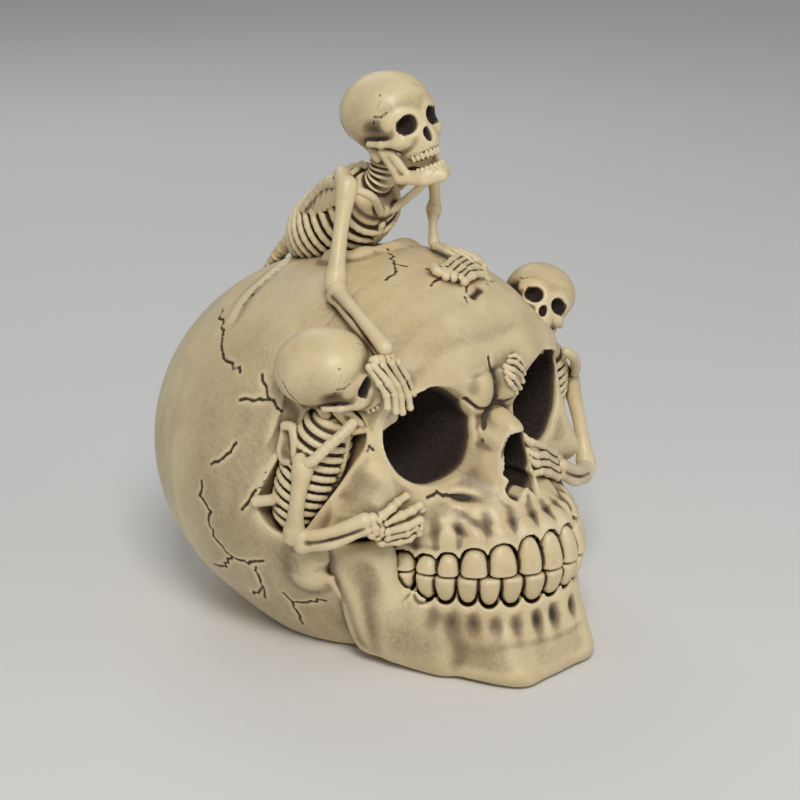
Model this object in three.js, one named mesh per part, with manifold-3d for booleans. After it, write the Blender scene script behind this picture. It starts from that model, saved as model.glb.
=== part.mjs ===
// A bone-coloured resin skull with three little skeletons climbing out of it.
// Millimetres, +Z up. The face looks towards -Y and the skull's own right side is -X.
// The origin is the middle of the felt pad under the vault, on the surface that it stands on.
import * as THREE from "three";
import { mergeVertices } from "three/addons/utils/BufferGeometryUtils.js";
import Module from "manifold-3d";

// Big skull
const skullWidth = 147;
const skullLength = 166;
const skullHeight = 133;
const castingWall = 13;
const biteHeight = 38;
const jawBack = 37;
const socketDepth = 27;
const toothDepth = 7;
const upperToothHeight = 12;
const lowerToothHeight = 12;
const upperToothWidths = [8.4, 8.6, 10, 9.4, 8, 7.6, 7];
const lowerToothWidths = [5.6, 8.2, 8.2, 8.2, 8, 8, 7.6];
const ramusThickness = 13;

// Little skeletons
const littleHeadWidth = 31;
const littleHeadLength = 37;
const littleHeadHeight = 34;
const upperArmThickness = 5.6;
const forearmThickness = 5;
const jointThickness = 7;
const collarThickness = 3.8;
const bladeThickness = 4.6;
const neckThickness = 9;
const spineThickness = 6;
const ribThickness = 2.6;
const ribTilt = 0.25;
const boneEndAngle = 0.63;
const topCageWidth = 33;
const topCageDepth = 27;
const sideCageWidth = 26;
const sideCageDepth = 19;
const fingerThickness = 3;
const fingerCount = 4;

// Base, pins and fits
const padThickness = 1.2;
const basePadDiameter = 62;
const chinPadDiameter = 22;
const plugDiameter = 40;
const plugHeight = 9;
const pinDiameter = 2.4;
const pinLength = 15;
const glueGap = 0.3;
const overrun = 40;

// How finely round forms are divided, and how sharply neighbouring masses of a skin meet
const vaultColumns = 34;
const vaultRows = 22;
const jawColumns = 22;
const jawRows = 14;
const toothColumns = 6;
const toothRows = 4;
const massColumns = 10;
const massRows = 7;
const boneSides = 6;
const fingerSides = 4;
const ribSides = 4;
const ribSteps = 10;
const discSides = 24;
const blendPower = 12;
const mergeDistance = 0.005;

const resin = { color: 0xcfbb92, roughness: 0.5, metalness: 0 };
const stopper = { color: 0x2a211b, roughness: 0.7, metalness: 0 };
const felt = { color: 0x2e2a28, roughness: 0.95, metalness: 0 };
const steel = { color: 0xa9abae, roughness: 0.35, metalness: 1 };

// Places in the big skull are shares of half its width, half its length and its height.
// The table of its rounded masses: a pair has a twin on the other side.
const vaultShares = [
  { centre: [0, 0.066, 0.459], reach: [0.993, 0.94, 0.519] },
  { centre: [0, -0.133, 0.632], reach: [0.776, 0.566, 0.372] },
  { centre: [0, -0.048, 0.195], reach: [0.68, 0.602, 0.301] },
  { centre: [0.245, -0.494, 0.752], reach: [0.286, 0.169, 0.075], pair: true },
  { centre: [0, -0.53, 0.714], reach: [0.177, 0.157, 0.083] },
  { centre: [0.503, -0.434, 0.677], reach: [0.122, 0.157, 0.098], pair: true },
  { centre: [0.626, -0.446, 0.466], reach: [0.163, 0.205, 0.098], pair: true },
  { centre: [0.34, -0.53, 0.489], reach: [0.272, 0.289, 0.135], pair: true },
  { centre: [0, -0.602, 0.632], reach: [0.095, 0.229, 0.06] },
  { centre: [0, -0.602, 0.353], reach: [0.49, 0.373, 0.135] },
];
const vaultOriginShare = [0, -0.169, 0.466];
const socketShare = [0.347, -0.639, 0.628];
const socketReachShare = [0.272, 0, 0.132];
const noseShares = [
  { centre: [0.068, -0.867, 0.5], reach: [0.088, 0.205, 0.064], pair: true },
  { centre: [0, -0.843, 0.571], reach: [0.068, 0.181, 0.075] },
];
const cavityShare = [0, 0.313, 0.466];
const cavityReachShare = [0.952, 0.687, 0.481];
const recessShare = [0.884, -0.434, 0.571];
const recessReachShare = [0.19, 0.229, 0.203];

const jawShares = [
  { centre: [0, -0.627, 0.226], reach: [0.422, 0.373, 0.135] },
  { centre: [0.163, -0.916, 0.068], reach: [0.163, 0.193, 0.09], pair: true },
  { centre: [0, -0.928, 0.068], reach: [0.218, 0.169, 0.09] },
  { centre: [0.299, -0.651, 0.075], reach: [0.177, 0.337, 0.113], pair: true },
  { centre: [0, -0.723, 0.075], reach: [0.299, 0.325, 0.105] },
];
const jawOriginShare = [0, -0.699, 0.135];
const chinPadShare = [0, -0.916, 0];
const ramusShares = [[0.449, -0.542, 0.098], [0.592, -0.548, 0.316]];
const ramusTaperShare = 0.6;

// The arch that the teeth stand on, from the midline back along the left side
const archShares = [
  [0, -1.024, 0.286],
  [0.177, -0.976, 0.286],
  [0.286, -0.904, 0.286],
  [0.395, -0.807, 0.286],
  [0.469, -0.699, 0.286],
  [0.51, -0.578, 0.286],
  [0.524, -0.458, 0.286],
];
const toothSinkShare = 0.33;

// A little head's shares are of its own width, length and height, from the middle of the head.
const headShares = [
  { centre: [0, 0.05, 0.1], reach: [0.5, 0.46, 0.42] },
  { centre: [0, -0.24, -0.24], reach: [0.33, 0.26, 0.3] },
  { centre: [0, -0.31, 0.02], reach: [0.36, 0.15, 0.12] },
  { centre: [0, -0.2, -0.17], reach: [0.44, 0.2, 0.09] },
  { centre: [0, -0.36, -0.46], reach: [0.22, 0.15, 0.12] },
];
const headHollowShares = [
  { centre: [0.18, -0.48, -0.07], reach: [0.13, 0.17, 0.12] },
  { centre: [-0.18, -0.48, -0.07], reach: [0.13, 0.17, 0.12] },
  { centre: [0, -0.52, -0.25], reach: [0.06, 0.1, 0.08] },
];
const chinShare = { centre: [0, -0.37, -0.72], reach: [0.23, 0.15, 0.11] };
const jawLineShares = [
  [0.33, -0.08, -0.3],
  [0.27, -0.14, -0.62],
  [0.12, -0.4, -0.72],
];
const jawLineShare = 0.6;

// Where each little head sits, how it is turned in radians (nod, tilt, swing), and its relative size
const heads = {
  top: { place: [0, -0.102, 1.35], turn: [0.05, 0, 0.15], sizeShare: 1 },
  right: { place: [-0.735, -0.404, 0.808], turn: [0.35, -0.1, 0.7], sizeShare: 0.9 },
  left: { place: [0.68, -0.422, 0.835], turn: [0, 0.7, -0.55], sizeShare: 0.8 },
};

const topTorsoShares = {
  cage: { top: [0, -0.024, 1.128], bottom: [0, 0.398, 0.977], front: [0, -0.5, -1], ribs: 5 },
  neck: [[0, -0.078, 1.248], [0, -0.036, 1.18], [0, 0.12, 1.15]],
  shoulders: [[-0.286, -0.096, 1.211], [0, -0.012, 1.203], [0.286, -0.096, 1.188]],
  collar: [[-0.259, -0.133, 1.203], [0, -0.193, 1.143], [0.259, -0.133, 1.18]],
  blades: [
    [[-0.286, -0.084, 1.211], [-0.204, 0.241, 1.098]],
    [[0.286, -0.084, 1.188], [0.204, 0.241, 1.09]],
  ],
  tail: [[0, 0.434, 1.008], [0, 0.578, 0.91], [0, 0.723, 0.797]],
  breast: [[0, -0.193, 1.143], [0, -0.169, 1.023]],
};
const sideTorsoShares = {
  cage: { top: [-0.721, -0.434, 0.684], bottom: [-0.748, -0.482, 0.436], front: [-1, -1, 0], ribs: 6 },
  neck: [[-0.721, -0.41, 0.752], [-0.735, -0.422, 0.692]],
  shoulders: [[-0.884, -0.398, 0.602], [-0.789, -0.458, 0.662], [-0.721, -0.566, 0.677]],
  blades: [[[-0.884, -0.398, 0.609], [-0.857, -0.289, 0.647], [-0.898, -0.265, 0.526]]],
  hip: [[-0.789, -0.41, 0.436], [-0.925, -0.229, 0.474]],
};
const armShares = {
  top_right_upper_arm: [[-0.286, -0.116, 1.211], [-0.463, -0.205, 0.985]],
  top_right_forearm: [[-0.483, -0.229, 0.966], [-0.592, -0.602, 0.88]],
  top_left_upper_arm: [[0.286, -0.108, 1.18], [0.272, -0.12, 1.098]],
  top_left_forearm: [[0.272, -0.12, 1.083], [0.218, -0.175, 1.015]],
  right_upper_arm: [[-0.898, -0.398, 0.594], [-0.939, -0.373, 0.406]],
  right_forearm: [[-0.939, -0.41, 0.391], [-0.796, -0.699, 0.462]],
  left_upper_arm: [[0.925, -0.41, 0.586], [0.857, -0.578, 0.353]],
  left_forearm: [[0.83, -0.602, 0.346], [0.327, -0.855, 0.459]],
};
const handShares = {
  top_right_hand: {
    wrist: [-0.585, -0.614, 0.865],
    knuckles: [[-0.626, -0.687, 0.82], [-0.531, -0.669, 0.812]],
    tips: [[-0.571, -0.693, 0.729], [-0.483, -0.663, 0.733]],
  },
  top_left_hand: {
    wrist: [0.204, -0.205, 1.011],
    knuckles: [[0.177, -0.325, 1.011], [0.299, -0.289, 0.985]],
    tips: [[0.259, -0.422, 0.977], [0.388, -0.361, 0.955]],
  },
  right_hand: {
    wrist: [-0.769, -0.711, 0.47],
    knuckles: [[-0.673, -0.747, 0.511], [-0.701, -0.723, 0.447]],
    tips: [[-0.551, -0.777, 0.496], [-0.599, -0.741, 0.436]],
  },
  left_nose_hand: {
    wrist: [0.299, -0.861, 0.466],
    knuckles: [[0.177, -0.892, 0.534], [0.177, -0.904, 0.466]],
    tips: [[0.082, -0.819, 0.549], [0.082, -0.819, 0.481]],
  },
  left_brow_hand: {
    wrist: [0.231, -0.627, 0.827],
    knuckles: [[0.082, -0.735, 0.812], [0.109, -0.759, 0.714]],
    tips: [[0.204, -0.795, 0.797], [0.231, -0.771, 0.699]],
  },
  forehead_hand: {
    wrist: [-0.014, -0.325, 0.985],
    knuckles: [[0.082, -0.361, 0.992], [0.054, -0.446, 0.977]],
    tips: [[0.259, -0.373, 0.977], [0.259, -0.446, 0.932]],
  },
};
// Steel pins across the glued joints: the middle of each one and the way that it points
const pinShares = {
  top_neck_pin: { middle: [0, -0.078, 1.256], way: [0, 0.1, 1] },
  top_body_pin: { middle: [0, 0.434, 0.977], way: [0, 0.3, -1] },
  right_neck_pin: { middle: [-0.721, -0.41, 0.729], way: [0, 0.1, 1] },
  left_neck_pin: { middle: [0.707, -0.416, 0.737], way: [0, 0.1, 1] },
};

const wasm = await Module();
wasm.setup();

function place([side, back, up]) {
  return new THREE.Vector3((side * skullWidth) / 2, (back * skullLength) / 2, up * skullHeight);
}

function mirrored([side, back, up]) {
  return [-side, back, up];
}

// A closed geometry as a solid: its shared vertices are merged and its collapsed faces dropped.
function solidOf(geometry) {
  const bare = geometry.clone();
  bare.deleteAttribute("normal");
  bare.deleteAttribute("uv");
  const merged = mergeVertices(bare, mergeDistance);
  const corners = merged.index.array;
  const kept = [];
  for (let i = 0; i < corners.length; i += 3) {
    const [a, b, c] = corners.slice(i, i + 3);
    if (a !== b && b !== c && c !== a) kept.push(a, b, c);
  }
  const vertProperties = merged.attributes.position.array;
  return new wasm.Manifold(new wasm.Mesh({ numProp: 3, vertProperties, triVerts: new Uint32Array(kept) }));
}

function joined(solids) {
  return solids.reduce((whole, one) => whole.add(one));
}

function largestBody(solid) {
  return solid.decompose().reduce((best, one) => (one.volume() > best.volume() ? one : best));
}

function overlapping(a, b) {
  const p = a.boundingBox();
  const q = b.boundingBox();
  return [0, 1, 2].every((i) => p.min[i] < q.max[i] && q.min[i] < p.max[i]);
}

// Basic forms. Each one is made larger all round by grow.
function mass(centre, reach, grow, turn = new THREE.Euler(), columns = massColumns, rows = massRows) {
  const geometry = new THREE.SphereGeometry(1, columns, rows);
  geometry.scale(reach.x + grow, reach.y + grow, reach.z + grow);
  geometry.applyQuaternion(new THREE.Quaternion().setFromEuler(turn));
  geometry.translate(centre.x, centre.y, centre.z);
  return solidOf(geometry);
}

function block(from, to) {
  const size = to.clone().sub(from);
  const middle = from.clone().add(to).divideScalar(2);
  const geometry = new THREE.BoxGeometry(size.x, size.y, size.z);
  geometry.translate(middle.x, middle.y, middle.z);
  return solidOf(geometry);
}

function disc(bottom, diameter, height) {
  const geometry = new THREE.CylinderGeometry(diameter / 2, diameter / 2, height, discSides);
  geometry.rotateX(Math.PI / 2);
  geometry.translate(bottom.x, bottom.y, bottom.z + height / 2);
  return solidOf(geometry);
}

function laid(geometry, from, along) {
  const upright = new THREE.Vector3(0, 1, 0);
  geometry.applyQuaternion(new THREE.Quaternion().setFromUnitVectors(upright, along.clone().normalize()));
  geometry.translate(from.x, from.y, from.z);
  return solidOf(geometry);
}

// A round-ended bone that tapers between two points
function bone(from, to, fromThickness, toThickness, grow, sides = boneSides) {
  const start = fromThickness / 2 + grow;
  const end = toThickness / 2 + grow;
  const length = from.distanceTo(to);
  const corner = boneEndAngle;
  const profile = [
    new THREE.Vector2(0, -start),
    new THREE.Vector2(start * Math.cos(corner), -start * Math.sin(corner)),
    new THREE.Vector2(start, 0),
    new THREE.Vector2(end, length),
    new THREE.Vector2(end * Math.cos(corner), length + end * Math.sin(corner)),
    new THREE.Vector2(0, length + end),
  ];
  return laid(new THREE.LatheGeometry(profile, sides), from, to.clone().sub(from));
}

function chain(shares, thickness, grow) {
  const points = shares.map(place);
  return joined(points.slice(1).map((to, i) => bone(points[i], to, thickness, thickness, grow)));
}

// How far a ray goes before it leaves a mass, or 0 where it misses it
function reachOf(origin, direction, { centre, reach }) {
  const from = origin.clone().sub(centre).divide(reach);
  const step = direction.clone().divide(reach);
  const square = step.dot(step);
  const half = from.dot(step);
  const rest = half * half - square * (from.dot(from) - 1);
  return rest > 0 ? Math.max(0, (Math.sqrt(rest) - half) / square) : 0;
}

// One smooth skin over overlapping masses, as far out as they reach from an origin inside them
function skinOver(origin, masses, grow, columns, rows) {
  const geometry = new THREE.SphereGeometry(1, columns, rows);
  geometry.rotateX(Math.PI / 2);
  const points = geometry.attributes.position;
  for (let i = 0; i < points.count; i++) {
    const direction = new THREE.Vector3().fromBufferAttribute(points, i).normalize();
    const total = masses.reduce((sum, one) => sum + reachOf(origin, direction, one) ** blendPower, 0);
    const point = direction.multiplyScalar(total ** (1 / blendPower) + grow).add(origin);
    points.setXYZ(i, point.x, point.y, point.z);
  }
  return solidOf(geometry);
}

function massesFrom(table) {
  return table.flatMap(({ centre, reach, pair }) => {
    const centres = pair ? [centre, mirrored(centre)] : [centre];
    return centres.map((share) => ({ centre: place(share), reach: place(reach) }));
  });
}

// Big skull
function belowPads() {
  const from = new THREE.Vector3(-skullWidth, -skullLength, -overrun);
  return block(from, new THREE.Vector3(skullWidth, skullLength, padThickness));
}

function belowBite(gap) {
  const from = new THREE.Vector3(-skullWidth, -skullLength, -overrun);
  return block(from, new THREE.Vector3(skullWidth, -jawBack - gap, biteHeight - gap));
}

// A row of teeth on both sides of the arch, above the bite (up is 1) or below it (up is -1)
function teeth(widths, height, up, grow) {
  const arch = new THREE.CatmullRomCurve3(archShares.map(place));
  const length = arch.getLength();
  const row = [];
  let reached = 0;
  for (const width of widths) {
    const along = Math.min(1, (reached + width / 2) / length);
    const point = arch.getPointAt(along);
    const way = arch.getTangentAt(along);
    reached += width;
    for (const side of [1, -1]) {
      const centre = new THREE.Vector3(point.x * side, point.y, biteHeight + up * height * toothSinkShare);
      const reach = new THREE.Vector3((width - glueGap) / 2, toothDepth / 2, height * (1 - toothSinkShare));
      const turn = new THREE.Euler(0, 0, Math.atan2(way.y, way.x) * side);
      row.push(mass(centre, reach, grow, turn, toothColumns, toothRows));
    }
  }
  return joined(row);
}

function skullForm(grow) {
  const skin = skinOver(place(vaultOriginShare), massesFrom(vaultShares), grow, vaultColumns, vaultRows);
  const socketReach = place(socketReachShare).setY(socketDepth);
  const hollows = [socketShare, mirrored(socketShare)].map((share) => mass(place(share), socketReach, -grow));
  for (const { centre, reach } of massesFrom(noseShares)) hollows.push(mass(centre, reach, -grow));
  for (const share of [recessShare, mirrored(recessShare)]) {
    hollows.push(mass(place(share), place(recessReachShare), -grow));
  }
  const full = skin.add(teeth(upperToothWidths, upperToothHeight, 1, grow));
  return full.subtract(joined(hollows)).subtract(belowBite(grow));
}

function skullCasting() {
  const cavity = mass(place(cavityShare), place(cavityReachShare).subScalar(castingWall), 0);
  const hole = disc(new THREE.Vector3(0, 0, 0), plugDiameter + glueGap, place(cavityShare).z);
  return skullForm(0).subtract(belowPads()).subtract(cavity).subtract(hole);
}

function jawForm(grow) {
  const skin = skinOver(place(jawOriginShare), massesFrom(jawShares), grow, jawColumns, jawRows);
  const space = belowBite(glueGap - grow);
  const row = teeth(lowerToothWidths, lowerToothHeight, -1, grow);
  const rami = [ramusShares, ramusShares.map(mirrored)].map(([foot, head]) =>
    bone(place(foot), place(head), ramusThickness, ramusThickness * ramusTaperShare, grow),
  );
  return joined([skin.intersect(space), row.intersect(space), ...rami]);
}

// Little skeletons
function headPoint(head, [side, back, up]) {
  const size = new THREE.Vector3(littleHeadWidth, littleHeadLength, littleHeadHeight);
  const point = new THREE.Vector3(side, back, up).multiply(size).multiplyScalar(head.sizeShare);
  return point.applyEuler(new THREE.Euler(...head.turn, "ZYX")).add(place(head.place));
}

function headMass(head, { centre, reach }, grow) {
  const size = new THREE.Vector3(littleHeadWidth, littleHeadLength, littleHeadHeight);
  const extent = new THREE.Vector3(...reach).multiply(size).multiplyScalar(head.sizeShare);
  return mass(headPoint(head, centre), extent, grow, new THREE.Euler(...head.turn, "ZYX"));
}

function littleHead(head, grow) {
  const full = joined(headShares.map((share) => headMass(head, share, grow)));
  return full.subtract(joined(headHollowShares.map((share) => headMass(head, share, -grow))));
}

function littleJaw(head, grow) {
  const thickness = jointThickness * jawLineShare * head.sizeShare;
  const sides = [1, -1].flatMap((side) => {
    const [hinge, angle, tip] = jawLineShares.map(([x, y, z]) => headPoint(head, [x * side, y, z]));
    return [bone(hinge, angle, thickness, thickness, grow), bone(angle, tip, thickness, thickness, grow)];
  });
  return joined([headMass(head, chinShare, grow), ...sides]);
}

// A rib cage: a core, a ring for each pair of ribs and a spine behind
function ribCage({ top, bottom, front, ribs, width, depth }, grow) {
  const from = place(top);
  const to = place(bottom);
  const axis = to.clone().sub(from).normalize();
  const ahead = new THREE.Vector3(...front).projectOnPlane(axis).normalize();
  const frame = new THREE.Matrix4().makeBasis(new THREE.Vector3().crossVectors(ahead, axis), ahead, axis);
  frame.setPosition(from.clone().add(to).divideScalar(2));
  const half = new THREE.Vector3(width, depth, from.distanceTo(to)).divideScalar(2);
  const girthAt = (level) => Math.sqrt(1 - (level * level) / 2);
  const profile = [new THREE.Vector2(0, -1)];
  for (let i = 0; i <= massRows; i++) {
    const level = (2 * i) / massRows - 1;
    profile.push(new THREE.Vector2(girthAt(level), level));
  }
  profile.push(new THREE.Vector2(0, 1));
  const core = new THREE.LatheGeometry(profile, massColumns);
  core.rotateX(Math.PI / 2);
  core.scale(half.x + grow, half.y + grow, half.z + grow);
  core.applyMatrix4(frame);
  const rings = [];
  for (let i = 1; i <= ribs; i++) {
    const level = (2 * i) / (ribs + 1) - 1;
    const girth = girthAt(level);
    const ring = new THREE.TorusGeometry(1, (ribThickness / 2 + grow) / half.y, ribSides, ribSteps);
    ring.scale(half.x * girth, half.y * girth, half.y);
    ring.rotateX(ribTilt);
    ring.translate(0, 0, level * half.z);
    ring.applyMatrix4(frame);
    rings.push(solidOf(ring));
  }
  const behind = ahead.clone().multiplyScalar(-half.y);
  const spine = bone(from.clone().add(behind), to.clone().add(behind), spineThickness, spineThickness, grow);
  return joined([solidOf(core), spine, ...rings]);
}

function topTorso(grow) {
  const { cage, neck, shoulders, collar, blades, tail, breast } = topTorsoShares;
  return joined([
    ribCage({ ...cage, width: topCageWidth, depth: topCageDepth }, grow),
    chain(neck, neckThickness, grow),
    chain(shoulders, jointThickness, grow),
    chain(collar, collarThickness, grow),
    chain(tail, spineThickness, grow),
    chain(breast, spineThickness, grow),
    ...blades.map((line) => chain(line, bladeThickness, grow)),
  ]);
}

function sideTorso(flip, grow) {
  const { cage, neck, shoulders, blades, hip } = sideTorsoShares;
  const turned = { ...cage, top: flip(cage.top), bottom: flip(cage.bottom), front: flip(cage.front) };
  return joined([
    ribCage({ ...turned, width: sideCageWidth, depth: sideCageDepth }, grow),
    chain(neck.map(flip), neckThickness, grow),
    chain(shoulders.map(flip), bladeThickness, grow),
    chain(hip.map(flip), bladeThickness, grow),
    ...blades.map((line) => chain(line.map(flip), bladeThickness, grow)),
  ]);
}

// An arm bone with a knob at both ends
function armBone([from, to], thickness, grow) {
  const [start, end] = [place(from), place(to)];
  const middle = start.clone().lerp(end, 1 / 2);
  const upper = bone(start, middle, jointThickness, thickness, grow);
  return upper.add(bone(middle, end, thickness, jointThickness, grow));
}

// A hand: a palm from the wrist to a row of knuckles, and four fingers from them
function hand({ wrist, knuckles, tips }, grow) {
  const [first, last] = knuckles.map(place);
  const [firstTip, lastTip] = tips.map(place);
  const palmEnd = first.clone().lerp(last, 1 / 2);
  const bones = [bone(place(wrist), palmEnd, forearmThickness, forearmThickness, grow)];
  for (let i = 0; i < fingerCount; i++) {
    const across = i / (fingerCount - 1);
    const knuckle = first.clone().lerp(last, across);
    const tip = firstTip.clone().lerp(lastTip, across);
    bones.push(bone(knuckle, tip, fingerThickness, fingerThickness, grow, fingerSides));
  }
  bones.push(bone(first, last, fingerThickness, fingerThickness, grow, fingerSides));
  return joined(bones);
}

function pin({ middle, way }, gap) {
  const along = new THREE.Vector3(...way).normalize();
  const from = place(middle).addScaledVector(along, -pinLength / 2 - gap);
  const length = pinLength + 2 * gap;
  const radius = pinDiameter / 2 + gap;
  const geometry = new THREE.CylinderGeometry(radius, radius, length, boneSides);
  geometry.translate(0, length / 2, 0);
  return laid(geometry, from, along);
}

// The pieces, from the ones that keep their whole form to the ones that give way to them
const forms = [
  ["jaw", jawForm],
  ["top_torso", topTorso],
  ["right_torso", (grow) => sideTorso((share) => share, grow)],
  ["left_torso", (grow) => sideTorso(mirrored, grow)],
];
// The top head has a jaw of its own, hung open. The other two are cast with theirs shut.
forms.push(["top_head", (grow) => littleHead(heads.top, grow)]);
forms.push(["top_jaw", (grow) => littleJaw(heads.top, grow)]);
forms.push(["right_head", (grow) => littleHead(heads.right, grow).add(littleJaw(heads.right, grow))]);
forms.push(["left_head", (grow) => littleHead(heads.left, grow).add(littleJaw(heads.left, grow))]);
for (const [name, line] of Object.entries(armShares)) {
  const thickness = name.endsWith("forearm") ? forearmThickness : upperArmThickness;
  forms.push([name, (grow) => armBone(line, thickness, grow)]);
}
for (const [name, shares] of Object.entries(handShares)) {
  forms.push([name, (grow) => hand(shares, grow)]);
}

const assembly = new THREE.Group();
function geometryOf(solid) {
  const { vertProperties, triVerts } = solid.getMesh();
  const geometry = new THREE.BufferGeometry();
  geometry.setAttribute("position", new THREE.BufferAttribute(vertProperties, 3));
  geometry.setIndex(new THREE.BufferAttribute(triVerts, 1));
  return geometry;
}

function addPiece(name, solid, look) {
  // Cuts leave corners closer together than any tool could work: they are merged first.
  const geometry = geometryOf(solidOf(geometryOf(solid)));
  geometry.computeVertexNormals();
  const mesh = new THREE.Mesh(geometry, new THREE.MeshStandardMaterial(look));
  mesh.name = name;
  assembly.add(mesh);
}

const bores = [];
for (const [name, shares] of Object.entries(pinShares)) {
  addPiece(name, pin(shares, 0), steel);
  bores.push(pin(shares, glueGap));
}
function bored(solid) {
  return bores.reduce((rest, bore) => (overlapping(rest, bore) ? rest.subtract(bore) : rest), solid);
}

addPiece("skull_casting", largestBody(bored(skullCasting())), resin);
const neighbours = [skullForm(glueGap)];
for (const [name, form] of forms) {
  let rest = form(0).subtract(belowPads());
  for (const other of neighbours) rest = overlapping(rest, other) ? rest.subtract(other) : rest;
  addPiece(name, largestBody(bored(rest)), resin);
  neighbours.push(form(glueGap));
}

addPiece("base_plug", disc(new THREE.Vector3(0, 0, padThickness), plugDiameter, plugHeight), stopper);
addPiece("base_felt_pad", disc(new THREE.Vector3(0, 0, 0), basePadDiameter, padThickness), felt);
addPiece("chin_felt_pad", disc(place(chinPadShare), chinPadDiameter, padThickness), felt);

export default assembly;
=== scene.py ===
# A bone-coloured resin skull with three little skeletons climbing out of it.
# Everything is modelled in millimetres in the frame of the CAD model and scaled to metres at the end.
import json
import math
import bpy
import numpy as np
import openvdb
from mathutils import Euler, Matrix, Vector


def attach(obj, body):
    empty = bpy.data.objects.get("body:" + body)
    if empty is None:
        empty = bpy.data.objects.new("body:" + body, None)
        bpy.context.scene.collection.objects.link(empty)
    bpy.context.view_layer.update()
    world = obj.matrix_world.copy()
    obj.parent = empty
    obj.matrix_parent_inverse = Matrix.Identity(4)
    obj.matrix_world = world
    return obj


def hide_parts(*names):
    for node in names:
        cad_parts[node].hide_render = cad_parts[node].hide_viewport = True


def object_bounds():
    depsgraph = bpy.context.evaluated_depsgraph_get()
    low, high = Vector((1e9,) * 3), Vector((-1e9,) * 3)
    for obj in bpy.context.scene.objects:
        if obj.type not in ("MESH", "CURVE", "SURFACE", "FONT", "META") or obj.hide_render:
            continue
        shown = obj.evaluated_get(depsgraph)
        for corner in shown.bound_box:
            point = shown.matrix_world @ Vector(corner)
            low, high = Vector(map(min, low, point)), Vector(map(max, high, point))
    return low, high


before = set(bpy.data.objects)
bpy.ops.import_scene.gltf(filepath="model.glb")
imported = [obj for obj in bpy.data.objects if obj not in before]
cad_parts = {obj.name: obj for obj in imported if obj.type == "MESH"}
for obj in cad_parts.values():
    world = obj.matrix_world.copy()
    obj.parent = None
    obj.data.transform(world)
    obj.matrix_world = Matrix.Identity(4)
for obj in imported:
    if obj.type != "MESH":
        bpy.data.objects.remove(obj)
cadBounds = [list(corner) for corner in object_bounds()]
mm = 0.001

# Millimetres and degrees, with lamp sizes and places in metres
studio = {
    "target": (13.774, 0.0, 73.679),
    "azimuth": -45.0,
    "elevation": 19.4,
    "distance": 763.6,
    "lens": 94.5,
    "floorSize": 4000.0,
    "floorPale": (0.82, 0.82, 0.81, 1),
    "floorDull": (0.78, 0.78, 0.78, 1),
    "worldStrength": 0.27,
    "worldColor": (0.95, 0.97, 1.0, 1),
    "lampAim": (0, 0, 0.08),
    "lamps": {
        "key": {"place": (-0.62, -0.75, 1.05), "size": 0.45, "power": 10.5, "color": (1, 0.97, 0.92)},
        "fill": {"place": (0.5, -0.9, 0.35), "size": 0.7, "power": 1.0, "color": (0.93, 0.96, 1)},
        "rim": {"place": (0.4, 0.8, 0.8), "size": 0.6, "power": 1.6, "color": (1, 1, 1)},
    },
}


# The camera stands where the photograph was taken
def setCamera():
    az = math.radians(studio["azimuth"])
    el = math.radians(studio["elevation"])
    back = Vector((math.sin(az) * math.cos(el), -math.cos(az) * math.cos(el), math.sin(el)))
    data = bpy.data.cameras.new("camera")
    data.lens = studio["lens"]
    data.sensor_width = 36.0
    data.clip_start = 0.01
    data.clip_end = 20.0
    camera = bpy.data.objects.new("camera", data)
    camera.location = (Vector(studio["target"]) + back * studio["distance"]) * mm
    camera.rotation_euler = back.to_track_quat("Z", "Y").to_euler()
    bpy.context.scene.collection.objects.link(camera)
    bpy.context.scene.camera = camera


setCamera()
print("camera set")


# Clay is a block of distances to a surface, which forms are pressed onto and cut out of.
# Each form gives its lowest corner, its highest corner and its distance at any place.
def egg(centre, reach, turn=None):
    centre, reach = np.array(centre, float), np.array(reach, float)
    basis = np.array(Euler(turn, "ZYX").to_matrix()) if turn else np.eye(3)
    span = np.sqrt(((basis * reach) ** 2).sum(1))

    def distance(x, y, z):
        p = [x - centre[0], y - centre[1], z - centre[2]]
        if turn:
            p = [p[0] * basis[0, i] + p[1] * basis[1, i] + p[2] * basis[2, i] for i in range(3)]
        near = np.sqrt((p[0] / reach[0]) ** 2 + (p[1] / reach[1]) ** 2 + (p[2] / reach[2]) ** 2)
        slope = np.sqrt(sum((p[i] / reach[i] ** 2) ** 2 for i in range(3)))
        return near * (near - 1) / np.maximum(slope, 1e-4)

    return centre - span, centre + span, distance


def rod(start, end, startRadius, endRadius=None):
    start, end = np.array(start, float), np.array(end, float)
    endRadius = startRadius if endRadius is None else endRadius
    along = end - start
    square = max(float(along @ along), 1e-6)
    radius = max(startRadius, endRadius)

    def distance(x, y, z):
        p = [x - start[0], y - start[1], z - start[2]]
        t = np.clip((p[0] * along[0] + p[1] * along[1] + p[2] * along[2]) / square, 0, 1)
        gap = np.sqrt(sum((p[i] - t * along[i]) ** 2 for i in range(3)))
        return gap - (startRadius + t * (endRadius - startRadius))

    return np.minimum(start, end) - radius, np.maximum(start, end) + radius, distance


def slab(centre, half, turn, rounding):
    centre, half = np.array(centre, float), np.array(half, float) - rounding
    basis = np.array(Euler(turn, "ZYX").to_matrix())
    span = np.abs(basis) @ (half + rounding)

    def distance(x, y, z):
        p = [x - centre[0], y - centre[1], z - centre[2]]
        q = [np.abs(p[0] * basis[0, i] + p[1] * basis[1, i] + p[2] * basis[2, i]) - half[i] for i in range(3)]
        outside = np.sqrt(sum(np.maximum(one, 0) ** 2 for one in q))
        return outside + np.minimum(np.maximum(np.maximum(q[0], q[1]), q[2]), 0) - rounding

    return centre - span, centre + span, distance


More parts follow.
